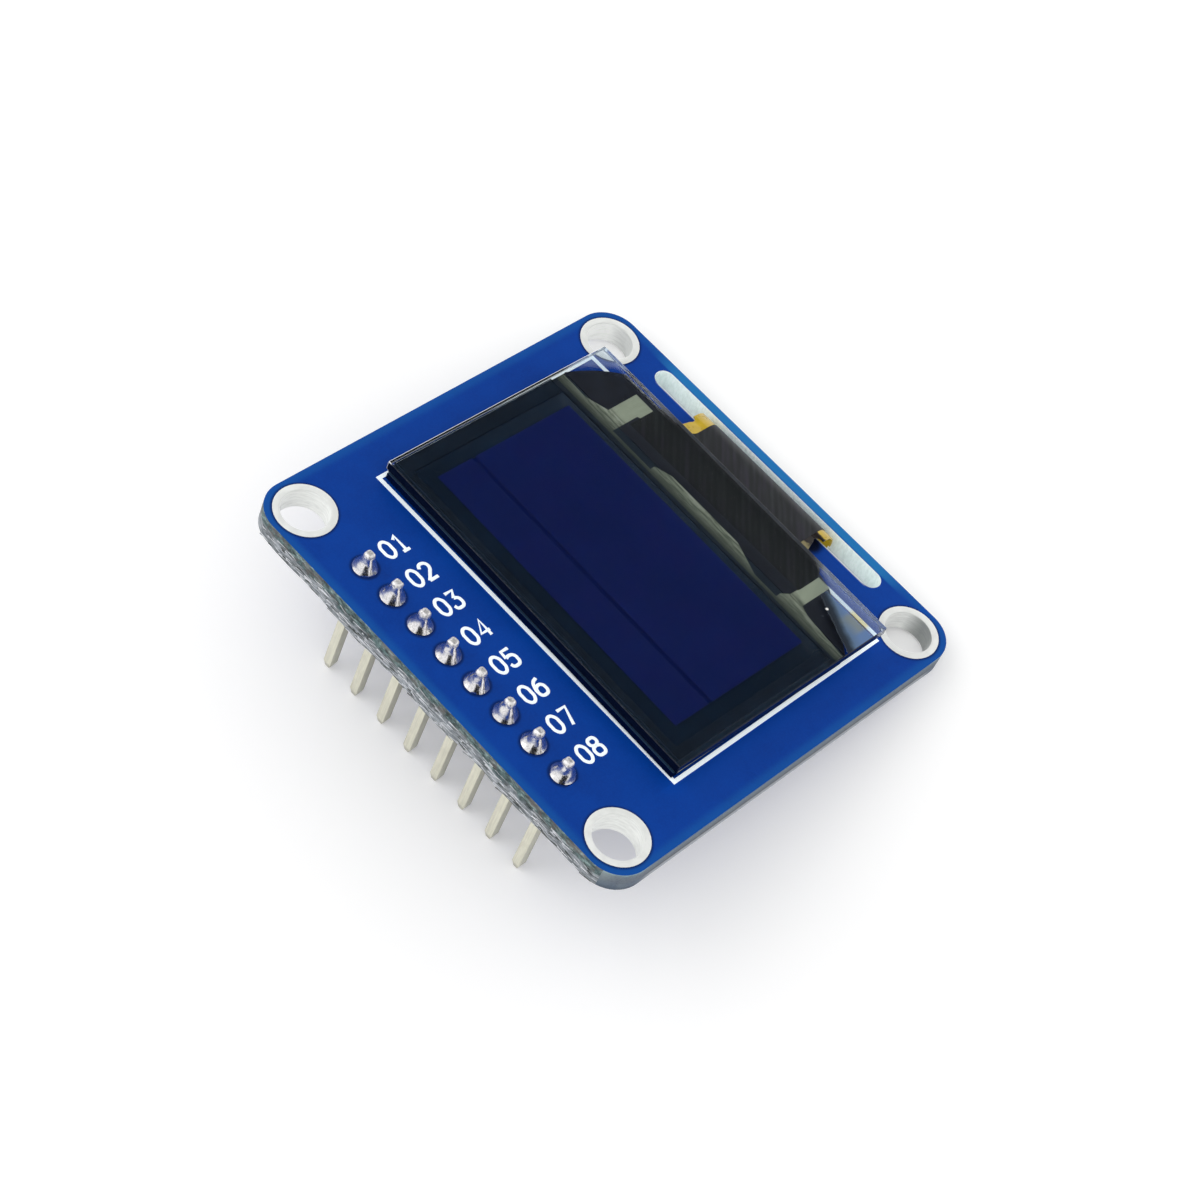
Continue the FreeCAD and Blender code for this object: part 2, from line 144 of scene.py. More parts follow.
class PanelSettings(bpy.types.PropertyGroup):
    pixels: colour_of("Pixel area", "Navy of the light emitting layer", (22, 50, 137))
    pixels_dark: colour_of("Pixel gaps", "Darker lines between the pixels", (18, 38, 104))
    border: colour_of("Border", "Dark lower glass seen round the pixels", (33, 57, 82))
    film: colour_of("Metal film", "Grey-green film on the ledge", (188, 195, 172))
    film_dark: colour_of("Film lines", "Darker lines in the film", (116, 123, 108))
    coating: colour_of("Ledge coating", "Black coating under the ledge", (31, 35, 48))
    glass: colour_of("Glass", "Clear front glass", (246, 250, 250))
    polarizer: colour_of("Polarizer", "Dark film laid on the glass", (222, 226, 232))
    haze: number_of("Haze", "Cloudiness of the ledge's clear corners", 0.13, max=1, subtype="FACTOR")


class CableSettings(bpy.types.PropertyGroup):
    amber: colour_of("Amber film", "Polyimide of the flat cable", (190, 160, 34))
    cover: colour_of("Black cover", "Cover layer of the flat cable", (27, 30, 33))
    cover_light: colour_of("Cover sheen", "Lighter stripes over the cable's tracks", (42, 46, 49))


class BackSettings(bpy.types.PropertyGroup):
    tan: colour_of("Capacitor body", "Tan ceramic of the capacitors", (150, 120, 84))
    black: colour_of("Resistor body", "Black face of the resistors", (30, 30, 32))
    epoxy: colour_of("Regulator body", "Moulded body of the regulator", (34, 34, 36))


class StageSettings(bpy.types.PropertyGroup):
    sky: number_of("Soft light", "Strength of the even light from all round", 0.9)
    key: number_of("Main lamp", "Power of the main lamp in watts", 0.35)
    fill: number_of("Back lamp", "Power of the lamp behind, in watts", 0.08)
    card: number_of("Black card", "Brightness of the card above, as gloss shows it", 0.02)
    focal: number_of("Lens", "Focal length of the camera in mm", 87.405, low=1)


# Materials

class Pattern:
    """A number that varies over a surface. Sums and products of patterns make the nodes for them."""

    def __init__(self, nodes, socket):
        self.nodes = nodes
        self.socket = socket

    def __add__(self, other):
        return self.nodes.maths("ADD", self, other)

    def __sub__(self, other):
        return self.nodes.maths("SUBTRACT", self, other)

    def __rsub__(self, other):
        return self.nodes.maths("SUBTRACT", other, self)

    def __mul__(self, other):
        return self.nodes.maths("MULTIPLY", self, other)

    def __abs__(self):
        return self.nodes.maths("ABSOLUTE", self)

    def at_least(self, other):
        return self.nodes.maths("MAXIMUM", self, other)

    def at_most(self, other):
        return self.nodes.maths("MINIMUM", self, other)

    def spread(self, low, high, out_low=0.0, out_high=1.0, easing="LINEAR", clamped=True):
        """Maps low to high on out_low to out_high, in a straight line, and stays level past both."""
        made = self.nodes.node("ShaderNodeMapRange", interpolation_type=easing, clamp=clamped)
        ends = (("From Min", low), ("From Max", high), ("To Min", out_low), ("To Max", out_high))
        for key, value in (("Value", self), *ends):
            self.nodes.feed(value, made.inputs[key])
        return Pattern(self.nodes, made.outputs["Result"])

    def soft(self, *ends):
        """As spread, easing in and out."""
        return self.spread(*ends, easing="SMOOTHSTEP")

    def slope(self, *ends):
        """As spread, going on past both ends."""
        return self.spread(*ends, clamped=False)


class Nodes:
    """The nodes of one material or world."""

    def __init__(self, tree):
        self.tree = tree

    def node(self, kind, **settings):
        made = self.tree.nodes.new(kind)
        for key, value in settings.items():
            setattr(made, key, value)
        return made

    def link(self, source, target):
        self.tree.links.new(source.socket if isinstance(source, Pattern) else source, target)

    def feed(self, value, target):
        """Links a pattern or a socket, or sets a constant."""
        if isinstance(value, (Pattern, bpy.types.NodeSocket)):
            self.link(value, target)
        else:
            target.default_value = value

    def maths(self, operation, *values):
        made = self.node("ShaderNodeMath", operation=operation)
        for value, target in zip(values, made.inputs):
            self.feed(value, target)
        return Pattern(self, made.outputs["Value"])

    def either(self, fac, first, second):
        """Two shaders mixed by a pattern."""
        made = self.node("ShaderNodeMixShader")
        for value, target in zip((fac, first, second), made.inputs):
            self.link(value, target)
        return made.outputs["Shader"]


def new_material(name):
    material = bpy.data.materials.new(name)
    material.use_nodes = True
    return material


class Finish(Nodes):
    """A node material put together round one Principled shader. Its patterns are laid out in mm,
    and its colour is built up in layers."""

    def __init__(self, name):
        self.material = new_material(name)
        super().__init__(self.material.node_tree)
        self.shader = self.tree.nodes["Principled BSDF"]
        self.place = self.node("ShaderNodeTexCoord").outputs["Object"]
        self.mm = self.mapped()
        self.colour = None

    def mapped(self, stretch=(1, 1, 1), turn=0.0, centre=(0, 0)):
        """Object coordinates in mm, turned back by an angle about a centre, then stretched."""
        turned = self.node("ShaderNodeMapping")
        turned.inputs["Scale"].default_value = (1 / MM,) * 3
        turned.inputs["Rotation"].default_value = (0, 0, -turn)
        back = Matrix.Rotation(-turn, 2) @ Vector(centre)
        turned.inputs["Location"].default_value = (-back.x, -back.y, 0)
        self.link(self.place, turned.inputs["Vector"])
        if stretch == (1, 1, 1):
            return turned.outputs["Vector"]
        scaled = self.node("ShaderNodeMapping")
        scaled.inputs["Scale"].default_value = stretch
        self.link(turned.outputs["Vector"], scaled.inputs["Vector"])
        return scaled.outputs["Vector"]

    def on_panel(self, stretch=(1, 1, 1), turn=0.0):
        """Coordinates in mm from the panel's centre, square to the panel."""
        return self.mapped(stretch, PANEL_TURN + turn, PANEL_CENTRE)

    def axes(self, where=None):
        made = self.node("ShaderNodeSeparateXYZ")
        self.link(where or self.mm, made.inputs["Vector"])
        return [Pattern(self, made.outputs[letter]) for letter in "XYZ"]

    def noise(self, scale, detail=2.0, roughness=0.5, where=None):
        made = self.node("ShaderNodeTexNoise")
        wanted = (("Vector", where or self.mm), ("Scale", scale), ("Detail", detail),
                  ("Roughness", roughness))
        for key, value in wanted:
            self.feed(value, made.inputs[key])
        return Pattern(self, made.outputs["Fac"])

    def stripes(self, spacing, where, distortion=0.0):
        """Even stripes across X of the given coordinates, a spacing in mm apart."""
        made = self.node("ShaderNodeTexWave", wave_type="BANDS", bands_direction="X")
        made.inputs["Scale"].default_value = math.pi / 10 / spacing
        made.inputs["Distortion"].default_value = distortion
        self.link(where, made.inputs["Vector"])
        return Pattern(self, made.outputs["Fac"])

    def free_ends(self, x, y):
        """1 at the two ends of the ledge, where its glass is free of the cable, else 0. The near
        part of its right side isn't free."""
        ends = x.spread(7.4, 8.2).at_least(x.spread(-6.0, -9.5)) * y.spread(LEDGE, LEDGE + 0.4)
        return ends * x.spread(GLASS_SIDE, GLASS_SIDE + 0.1, 1, 0).at_least(y.spread(8.7, 9.0))

    def from_pin(self, x):
        """Distance along the row from the nearest pin's middle."""
        return self.maths("PINGPONG", x - FIRST_PIN_X, PITCH / 2)

    def apart(self, x, y):
        """Distance from the place where both are 0."""
        return self.maths("SQRT", x * x + y * y)

    def rounded(self, x, y):
        """The same outside a square corner, and the larger of both inside it."""
        return self.apart(x.at_least(0), y.at_least(0)) + x.at_least(y).at_most(0)

    def ramp(self, fac, *stops):
        """Colours at places from 0 to 1 along a pattern."""
        made = self.node("ShaderNodeValToRGB")
        while len(made.color_ramp.elements) < len(stops):
            made.color_ramp.elements.new(0.5)
        for element, (place, shade) in zip(made.color_ramp.elements, stops):
            element.position = place
            element.color = (*shade, 1)
        self.link(fac, made.inputs["Fac"])
        return made.outputs["Color"]

    def mix(self, fac, first, second):
        """Two colours mixed by a pattern; each is a socket or a colour."""
        made = self.node("ShaderNodeMix", data_type="RGBA")
        self.link(fac, made.inputs["Factor"])
        for value, target in ((first, made.inputs[6]), (second, made.inputs[7])):
            self.feed(value if isinstance(value, bpy.types.NodeSocket) else (*value, 1), target)
        return made.outputs[2]

    def shades(self, fac, *stops):
        """Starts the colour as a ramp."""
        self.colour = self.ramp(fac, *stops)

    def mottle(self, fac, shade, *stops):
        """Starts the colour as lighter and darker tones of one shade."""
        self.shades(fac, *[(place, tone(shade, gain)) for place, gain in stops])

    def layer(self, fac, shade):
        """Lays a shade over the colour so far, by a pattern."""
        self.colour = self.mix(fac, self.colour, shade)

    def drive(self, socket, pattern):
        self.link(pattern, self.shader.inputs[socket])

    def done(self, gloss, bump, depth, strength=0.5, **constants):
        """The material, with gloss as a pattern with its least and most roughness, bump of a depth
        in mm, and constants on the shader's own sockets, such as IOR_Level for IOR Level."""
        fac, low, high = gloss
        self.drive("Base Color", self.colour)
        self.drive("Roughness", fac.spread(0, 1, low, high))
        raised = self.node("ShaderNodeBump")
        for key, value in (("Height", bump), ("Distance", depth * MM), ("Strength", strength)):
            self.feed(value, raised.inputs[key])
        self.drive("Normal", raised.outputs["Normal"])
        for key, value in constants.items():
            self.shader.inputs[key.replace("_", " ")].default_value = value
        return self.material


def mask_finish(name, board, with_painted_light):
    """Solder mask: fine mottling, darker round its openings, with painted contact shade round the pads,
    and brighter where no copper lies under it. The top also has painted light: a painted lift
    beside the panel's right side, a painted shadow by the notch, the web beyond the slot painted
    brighter as if light came through it, and a painted highlight on the slot's near rim."""
    f = Finish(name)
    x, y, z = f.axes()
    width, depth = abs(x), abs(y)
    fine = f.noise(9.0, 3)
    f.shades(f.noise(0.35, 3), (0.32, board.mask_dark), (0.68, board.mask))
    f.layer(fine.spread(0.35, 0.7, 0, 0.35), tone(board.mask, 1.25))
    margin = f.rounded(width - HOLE_X, depth - HOLE_Y)
    f.layer(margin.soft(1.7, 2.3, 0, 0.24), board.mask_bright)
    ring = f.apart(width - HOLE_X, depth - HOLE_Y)
    pad = f.apart(f.from_pin(x), y - ROW_Y) + width.spread(9.8, 10.4, 0, 5)
    # darker round the openings: painted contact shade round each solder pad, and round the hole rings the
    # mask's darker clearance
    for reach, radius in ((ring, RING), (pad, PAD)):
        f.layer(reach.spread(radius + 0.05, radius + 0.2, 0.7, 0), tone(board.mask_dark, 0.25))
    if with_painted_light:
        # painted light: the mask beside the panel's right side is lifted brighter against the panel's
        # shadow
        beside = x.spread(13.2, 13.3) * x.spread(13.3, 14.8, 0.45, 0) * y.soft(-10.0, -7.6)
        f.layer(beside, tone(board.mask, 1.45))
        # painted shadow: the mask darkened round the notch, where the raised cable shades it
        notch_shadow_reach = f.apart(x - NOTCH[0], y - NOTCH[1])
        f.layer(notch_shadow_reach.soft(0.4, 0.95, 0.92, 0), linear(10, 14, 22))
        # brighter web beyond the slot: no copper lies under it, and painted light as if light came
        # through it from its far edge
        beyond = y.soft(SLOT_FAR - 0.05, SLOT_FAR + 0.15)
        f.layer(beyond * width.soft(SLOT_SPAN - 1.2, SLOT_SPAN + 1.6, 1, 0), board.mask_bright)
        # painted highlight: a pale line along the slot's near rim
        rim = abs(y - SLOT_NEAR).spread(0.04, 0.09, 0.7, 0)
        f.layer(rim * width.spread(SLOT_SPAN - 0.9, SLOT_SPAN - 0.5, 1, 0), board.slot_wall)
    bump = fine + f.noise(28.0, 2) * 0.35
    return f.done((f.noise(1.3, 3), 0.34, 0.5), bump, 0.006, 0.6, Specular_IOR_Level=0.1)


def cut_edge_finish(name, board):
    """Routed board edge: glass fibre in bluish resin, lighter towards the top. The right side shows
    a dark line under a blue rim, over a foot painted pale like the lit floor beside it."""
    f = Finish(name)
    x, y, z = f.axes()
    strands = f.noise(2.6, 6, 0.7, f.mapped((0.5, 0.5, 5.0)))
    cloud = f.noise(1.3, 3, 0.6)
    height = z.spread(0, BOARD_TOP)
    f.shades(height + strands.spread(0.3, 0.7, -0.12, 0.12),
             (0.06, tone(board.cut_resin, 0.66)), (0.25, tone(board.cut_resin, 0.9)),
             (0.6, linear(96, 105, 119)), (0.88, linear(112, 126, 137)), (0.97, linear(134, 164, 176)))
    f.layer(cloud.spread(0.45, 0.7, 0, 0.3), linear(136, 148, 150))
    f.layer(f.noise(9.0, 3, 0.7).spread(0.36, 0.5, 0.4, 0), tone(board.cut_resin, 0.4))
    beside = x.spread(CUT_SIDE, CUT_SIDE + 0.2) * abs(y).soft(12.5, 14.0, 1, 0)
    level = height + cloud.spread(0.3, 0.7, -0.01, 0.01)
    # painted light: the lower part of the right side is painted pale like the lit floor, under a dark
    # line
    foot = f.ramp(level, (0.1, linear(166, 171, 178)), (0.28, linear(146, 151, 159)),
                  (0.36, linear(62, 66, 74)))
    f.layer(beside * level.spread(0.4, 0.48, 1, 0), foot)
    f.layer(beside * height.spread(0.82, 0.95), linear(76, 98, 128))
    f.layer(y.soft(-15.2, -16.0, 0, 0.55) * height, linear(160, 174, 172))
    bump = strands + f.stripes(1 / 5.5, f.mapped((0.02, 0.02, 1)), 1.2) * 0.3
    return f.done((strands, 0.4, 0.7), bump, 0.03, Specular_IOR_Level=0.3)


def torn_edge_finish(name, board):
    """Snapped board edge: green and brown flecks above, and pale lilac glass fibre torn out below."""
    f = Finish(name)
    x, y, z = f.axes()
    ragged = f.noise(1.1, 3, 0.6, f.mapped((1, 1, 0.4)))
    flecks = f.noise(2.6, 5, 0.75, f.mapped((0.7, 0.7, 1.6)))
    streaks = f.noise(2.4, 6, 0.78, f.mapped((0.5, 0.5, 3.2)))
    hue = f.noise(1.3, 3, 0.6, f.mapped((0.8, 0.8, 1.3)))
    upper = f.ramp(flecks, (0.36, linear(44, 52, 46)), (0.47, linear(76, 98, 102)),
                   (0.56, linear(112, 138, 138)), (0.68, linear(184, 204, 202)))
    upper = f.mix(hue.spread(0.5, 0.62, 0, 0.6), upper, linear(116, 104, 102))
    f.shades(streaks, (0.36, linear(66, 70, 76)), (0.45, linear(122, 129, 134)),
             (0.55, board.fibre), (0.7, linear(236, 240, 245)))
    f.layer(z.spread(0.0, 0.12, 0.75, 0), linear(74, 82, 74))
    f.layer((z + ragged * 0.5).soft(1.0, 1.25), upper)
    return f.done((streaks, 0.45, 0.75), streaks + flecks, 0.1, 0.9, Specular_IOR_Level=0.4)


def strand_finish(name, shade):
    """Loose glass fibre: silky along its length."""
    f = Finish(name)
    along = f.noise(3.0, 3, 0.6, f.mapped((0.5, 2, 2)))
    f.mottle(along, shade, (0.3, 0.7), (0.65, 1))
    return f.done((along, 0.35, 0.6), along, 0.01, 0.4)


def slot_finish(name, board):
    """Milled fibreglass: pale, scattering light under its surface, and with a faint painted glow as if
    light passed through the thin web.
    """
    f = Finish(name)
    cut = f.noise(6.0, 4, 0.6, f.mapped((1, 1, 0.4)))
    f.mottle(cut, board.slot_wall, (0.3, 0.8), (0.7, 1))
    # painted glow: a faint pale emission stands in for light coming through the web
    return f.done((cut, 0.5, 0.7), cut, 0.02, 0.6, Subsurface_Weight=0.8,
                  Subsurface_Radius=(1.0, 1.0, 1.0), Subsurface_Scale=MM,
                  Emission_Color=(*linear(216, 234, 250), 1), Emission_Strength=0.13)


def tin_finish(name, board):
    """Levelled tin: nearly white, softly rippled, with a little metal in it. The far walls of the
    two far holes have painted shade, and the hole walls a faint painted glow, strongest in the far
    left hole."""
    f = Finish(name)
    x, y, z = f.axes()
    ripple = f.noise(1.6, 3)
    drilled = f.noise(2.4, 5, 0.65, f.mapped((0.5, 0.5, 3)))
    wall = z.spread(BOARD_TOP - 0.08, BOARD_TOP + 0.01, 1, 0)
    inner = f.ramp(drilled, (0.35, tone(board.tin, 0.82)), (0.6, board.tin))
    facing = (x - x.spread(-1, 1, -HOLE_X, HOLE_X)) * 0.4 + (y - HOLE_Y) * 0.9
    # painted shade on the far walls of the two far holes
    painted_shade = facing.spread(0.7, 1.5) * x.spread(-1, 1, 0.42, 0.7)
    f.mottle(ripple, board.tin, (0.3, 0.92), (0.7, 1))
    f.layer(wall, f.mix(painted_shade, inner, linear(84, 92, 94)))
    # painted glow on the hole walls, stronger in the far left hole and weaker where the shade is painted
    far_left_glow = x.spread(0, -1, 0, 0.1) * y.spread(0, 1)
    f.drive("Emission Strength", (wall * (far_left_glow + 0.1 - painted_shade * 0.2)).at_least(0))
    return f.done((ripple, 0.3, 0.5), ripple + f.noise(12.0) * 0.25, 0.02, 0.6, Metallic=0.12)


def ink_finish(name, ink):
    """Screen print: matt white with fine specks, and a faint painted glow, brighter on the outline's
    right leg.
    """
    f = Finish(name)
    x, y, z = f.axes()
    speck = f.noise(14.0, 3)
    f.mottle(speck, ink, (0.25, 0.88), (0.55, 1))
    # painted glow: the ink glows a little all over, more towards the outline's right leg
    f.drive("Emission Strength", x.spread(11.5, 13, 0.17, 0.3))
    return f.done((speck, 0.5, 0.7), speck, 0.008, 0.6, Emission_Color=(*ink, 1))


def plastic_finish(name, shade, rough=0.5, depth=0.01, **constants):
    """Moulded plastic or ceramic: fine-grained, a little uneven in tone."""
    f = Finish(name)
    fine = f.noise(11.0, 3, 0.6)
    f.mottle(f.noise(1.1, 3), shade, (0.3, 0.8), (0.7, 1.2))
    return f.done((fine, rough - 0.1, rough + 0.12), fine, depth, 0.6, **constants)


def pin_top_finish(name, shade):
    """The pin's end above the board, tinned by the soldering: dull silver with dark grains."""
    f = Finish(name)
    grains = f.noise(7.0, 4, 0.65)
    f.mottle(grains, shade, (0.34, 0.5), (0.44, 0.95), (0.6, 1.15))
    return f.done((grains, 0.25, 0.45), grains, 0.04, 0.6, Metallic=0.8)


def pin_finish(name, shade):
    """Drawn and plated wire: lines along its length, darker at its sheared tip, and painted shade on its
    sides.
    """
    f = Finish(name)
    x, y, z = f.axes()
    drawn = f.noise(3.0, 4, 0.6, f.mapped((4, 4, 0.25)))
    cloud = f.noise(1.2, 3)
    f.mottle(drawn, shade, (0.3, 0.86), (0.7, 1.05))
    f.layer(cloud.spread(0.5, 0.75, 0, 0.35), tone(shade, 0.72))
    f.layer(z.soft(PIN_TIP, PIN_TIP + 0.5, 1, 0) * 0.55, tone(shade, 0.35))
    # painted shade: the pin's sides darker than its front
    f.layer(f.from_pin(x).spread(0.28, 0.32, 0, 0.5), tone(shade, 0.5))
    return f.done((cloud, 0.3, 0.5), drawn, 0.01, Metallic=0.45)


def solder_finish(name, shade):
    """Bright solder: mirror-like, with shallow ripples and a few dull grains."""
    f = Finish(name)
    dull = f.noise(8.0, 3, 0.6)
    f.mottle(dull, shade, (0.3, 0.85), (0.6, 1.15))
    return f.done((dull, 0.14, 0.28), f.noise(1.5, 3) + dull * 0.05, 0.06, Metallic=1.0)


def lower_glass_finish(name, panel):
    """The lower plate of the panel: dark and glossy, a little blue over the pixels."""
    f = Finish(name)
    x, y, z = f.axes(f.on_panel())
    f.mottle(f.noise(0.25), panel.border, (0.35, 0.75), (0.7, 1))
    within = abs(x).spread(10.8, 10.95, 1, 0) * y.spread(-7.5, -7.4) * y.spread(3.8, 3.9, 1, 0)
    f.layer(within, tone(panel.pixels, 0.7))
    return f.done((f.noise(5.0), 0.12, 0.25), f.noise(3.0), 0.002, 0.4, Specular_IOR_Level=0.15)


def lower_side_finish(name):
    """The ground side of the lower plate, painted dark blue for the shade of the front glass and the blue
    mask it reflects.
    """
    f = Finish(name)
    ground = f.noise(6.0, 3, 0.6, f.mapped((1, 1, 3)))
    # painted shade and painted reflection: dark blue
    f.shades(ground, (0.35, linear(2, 10, 34)), (0.65, linear(4, 20, 58)))
    return f.done((ground, 0.6, 0.8), ground, 0.01, Specular_IOR_Level=0.0)


def seal_finish(name, panel):
    """Dark glue between the plates, deeper in tone where the polarizer no longer covers it."""
    f = Finish(name)
    x, y, z = f.axes(f.on_panel())
    f.mottle(f.noise(0.5, 3), panel.border, (0.35, 0.65), (0.7, 0.85))
    f.layer(y.spread(LEDGE - 1.6, LEDGE - 1.2), tone(panel.border, 0.4))
    return f.done((f.noise(4.0, 3), 0.3, 0.5), f.noise(11.0, 3), 0.004)


def pixel_finish(name, panel):
    """Rows and columns of pixels, fine enough to shimmer, square to the panel."""
    f = Finish(name)
    columns = f.stripes(PIXEL_WIDE, f.on_panel())
    rows = f.stripes(PIXEL_TALL, f.on_panel(turn=math.pi / 2))
    dark = columns.spread(0.75, 1.0, 0, 0.55).at_least(rows.spread(0.75, 1.0, 0, 0.55))
    cloud = f.noise(0.22)
    f.mottle(cloud, panel.pixels, (0.35, 0.92), (0.7, 1.08))
    f.layer(f.noise(0.4, 4, 0.6).spread(0.42, 0.62, 0, 0.5), linear(36, 44, 136))
    f.layer(dark, panel.pixels_dark)
    return f.done((cloud, 0.3, 0.4), dark, 0.002, 0.4, Specular_IOR_Level=0.2)


def film_finish(name, panel):
    """Thin metal tracks fanning out under the ledge: fine lines square to the cable, and streaks
    along the strip at the ledge's foot."""
    f = Finish(name)
    x, y, z = f.axes(f.on_panel())
    tracks = f.stripes(1 / 9, f.on_panel(), 0.4)
    wander = f.noise(2.2, 3, 0.6, f.mapped((1, 0.35, 1)))
    along = f.noise(2.0, 5, 0.75, f.on_panel((0.3, 3.6, 1)))
    strip = y.spread(LEDGE + 0.5, LEDGE + 0.9, 1, 0)
    inner = y.spread(LEDGE - 0.8, LEDGE + 0.35, 1, 0) + along.spread(0.35, 0.65, -0.25, 0.25)
    f.mottle(wander, panel.film, (0.3, 0.8), (0.7, 1))
    f.layer(tracks.spread(0.55, 0.9, 0, 0.25), panel.film_dark)
    f.layer(strip * along.spread(0.44, 0.56, 0.85, 0), linear(80, 88, 76))
    f.layer(strip * along.spread(0.54, 0.64, 0, 0.8), linear(214, 218, 204))
    f.layer(inner.spread(0, 1, 0, 0.95) * strip, linear(46, 56, 52))
    return f.done((wander, 0.35, 0.55), tracks, 0.003, 0.4)


def coating_finish(name, panel):
    """Brushed black coating that thins towards the ledge's free edge on the right."""
    f = Finish(name)
    x, y, z = f.axes()
    smear = f.noise(1.4, 3, 0.6)
    f.mottle(smear, panel.coating, (0.3, 0.85), (0.7, 1.15))
    f.layer(x.soft(7.0, 9.5) * y.soft(9.6, 11.4), linear(84, 96, 124))
    return f.done((smear, 0.3, 0.45), smear, 0.004, 0.4)


def cover_finish(name, cable):
    """Black cover layer: the tracks under it show as fine slanting ribs, with painted sheen along them.
    """
    f = Finish(name)
    ribs = f.stripes(RIB_PITCH, f.mapped(turn=RIB_SLANT), 0.6)
    streaks = f.noise(1.0, 4, 0.6, f.mapped((2.4, 0.16, 1), RIB_SLANT))
    patch = f.noise(0.8, 3)
    # painted sheen: lighter stripes and streaks over the tracks
    sheen = ribs * patch.spread(0.3, 0.7, 0.2, 0.8) + streaks.spread(0.42, 0.68, -0.1, 0.9)
    tint = f.mix(f.noise(0.5).spread(0.4, 0.6), cable.cover_light, linear(42, 40, 52))
    f.colour = f.mix(sheen.spread(0.2, 1.3), cable.cover, tint)
    return f.done((patch, 0.42, 0.6), ribs, 0.012, Specular_IOR_Level=0.35)


def amber_finish(name, cable):
    """Polyimide: deep amber, glossy, with a painted glow of its own colour, as if light passed through it
    a little. It is black where it is bonded to the glass; by its right notch it is greyer, and
    painted dark inside the notch as shade."""
    f = Finish(name)
    x, y, z = f.axes()
    above = z.spread(0.5, 0.8)
    right = x.spread(0, 0.1) * above
    cloud = f.noise(1.8, 3)
    notch_edge_y = y + f.noise(3.0, 3).spread(0.3, 0.7, -0.12, 0.12)
    f.mottle(cloud, cable.amber, (0.3, 0.8), (0.7, 1))
    f.layer(notch_edge_y.spread(12.5, 12.6, 0.8, 0) * right, linear(104, 104, 84))
    # painted shade: dark inside the right notch
    f.layer(notch_edge_y.spread(12.3, 12.5) * notch_edge_y.spread(13.72, 13.86, 1, 0) * right, linear(24, 17, 15))
    f.layer(y.spread(11.45, 11.6, 1, 0) * above, cable.cover)
    # painted glow in the amber's own colour
    f.drive("Emission Color", f.colour)
    return f.done((cloud, 0.22, 0.36), f.noise(6.0), 0.004, Coat_Weight=0.3, Emission_Strength=0.12)


def polarizer_finish(name, shade):
    """Dark clear film with faint smears in its gloss."""
    f = Finish(name)
    smear = f.noise(0.6, 3, 0.6)
    f.mottle(smear, shade, (0.3, 0.97), (0.7, 1))
    return f.done((smear, 0.03, 0.05), f.noise(0.15, 1), 0.001, 0.3, Transmission_Weight=1.0, IOR=1.49)


def front_glass_finish(name, panel):
    """Clear glass. In the ledge's two free corners it is a little hazy, and on the right a grey smear
    is left where the coating thins out towards the printed line. All of that is on its face."""
    f = Finish(name)
    x, y, z = f.axes(f.on_panel())
    smear = f.noise(0.9, 4, 0.6, f.on_panel())
    wander = smear.spread(0.3, 0.7, -0.05, 0.05)
    right = x.slope(8.9, 13.2) + y.slope(8.9, 7.0, 0, -1) + wander
    left = x.slope(-10.95, -13.2) + y.slope(9.5, 5.9, 0, -1) + wander
    face = f.axes()[2].spread(GLASS_FACE - 0.15, GLASS_FACE)
    ledge = y.spread(LEDGE - 0.05, LEDGE + 0.1)
    haze = right.soft(-0.32, 0.05).at_least(left.soft(-0.02, 0.25)) * ledge
    grey = right.soft(-0.62, -0.52) * x.soft(9.05, 9.35) * y.soft(8.05, 8.3, 1, 0) * 0.96 * ledge * face
    amber = x.soft(10.9, 11.4) * x.soft(12.4, 12.8, 1, 0) * y.spread(7.1, 7.9) * y.spread(8.6, 8.75, 1, 0)
    dot = f.apart(x - LEDGE_DOT[0], y - LEDGE_DOT[1]).spread(0.08, 0.12, 1, 0)
    clear = f.ramp(smear, (0.3, tone(panel.glass, 0.97)), (0.7, panel.glass))
    clear = f.mix(haze * face, clear, linear(222, 238, 252))
    clear = f.mix(amber * 0.8, clear, linear(236, 206, 92))
    wash = f.ramp(right.spread(-0.62, 0.38), (0.0, linear(54, 60, 68)), (0.1, linear(43, 49, 57)),
                  (0.22, linear(46, 54, 64)), (0.35, linear(71, 86, 103)),
                  (0.46, linear(92, 114, 142)), (0.8, linear(98, 124, 164)))
    wash = f.mix(amber * 0.55, wash, linear(136, 138, 108))
    # The one base colour serves the smear and the clear part, so a thin smear takes it paler.
    even = f.node("ShaderNodeMix", data_type="RGBA", blend_type="DIVIDE", clamp_result=True)
    even.inputs["Factor"].default_value = 1
    f.link(wash, even.inputs[6])
    f.link(grey.at_least(0.015), even.inputs[7])
    f.colour = f.mix(grey.spread(0, 0.02), clear, even.outputs[2])
    f.layer(dot, linear(240, 240, 236))
    f.drive("Transmission Weight", 1 - grey.at_least(dot).at_least(haze * panel.haze) * face)
    return f.done((smear, 0.0, 0.02), f.noise(0.15, 1), 0.001, 0.3, IOR=1.5)


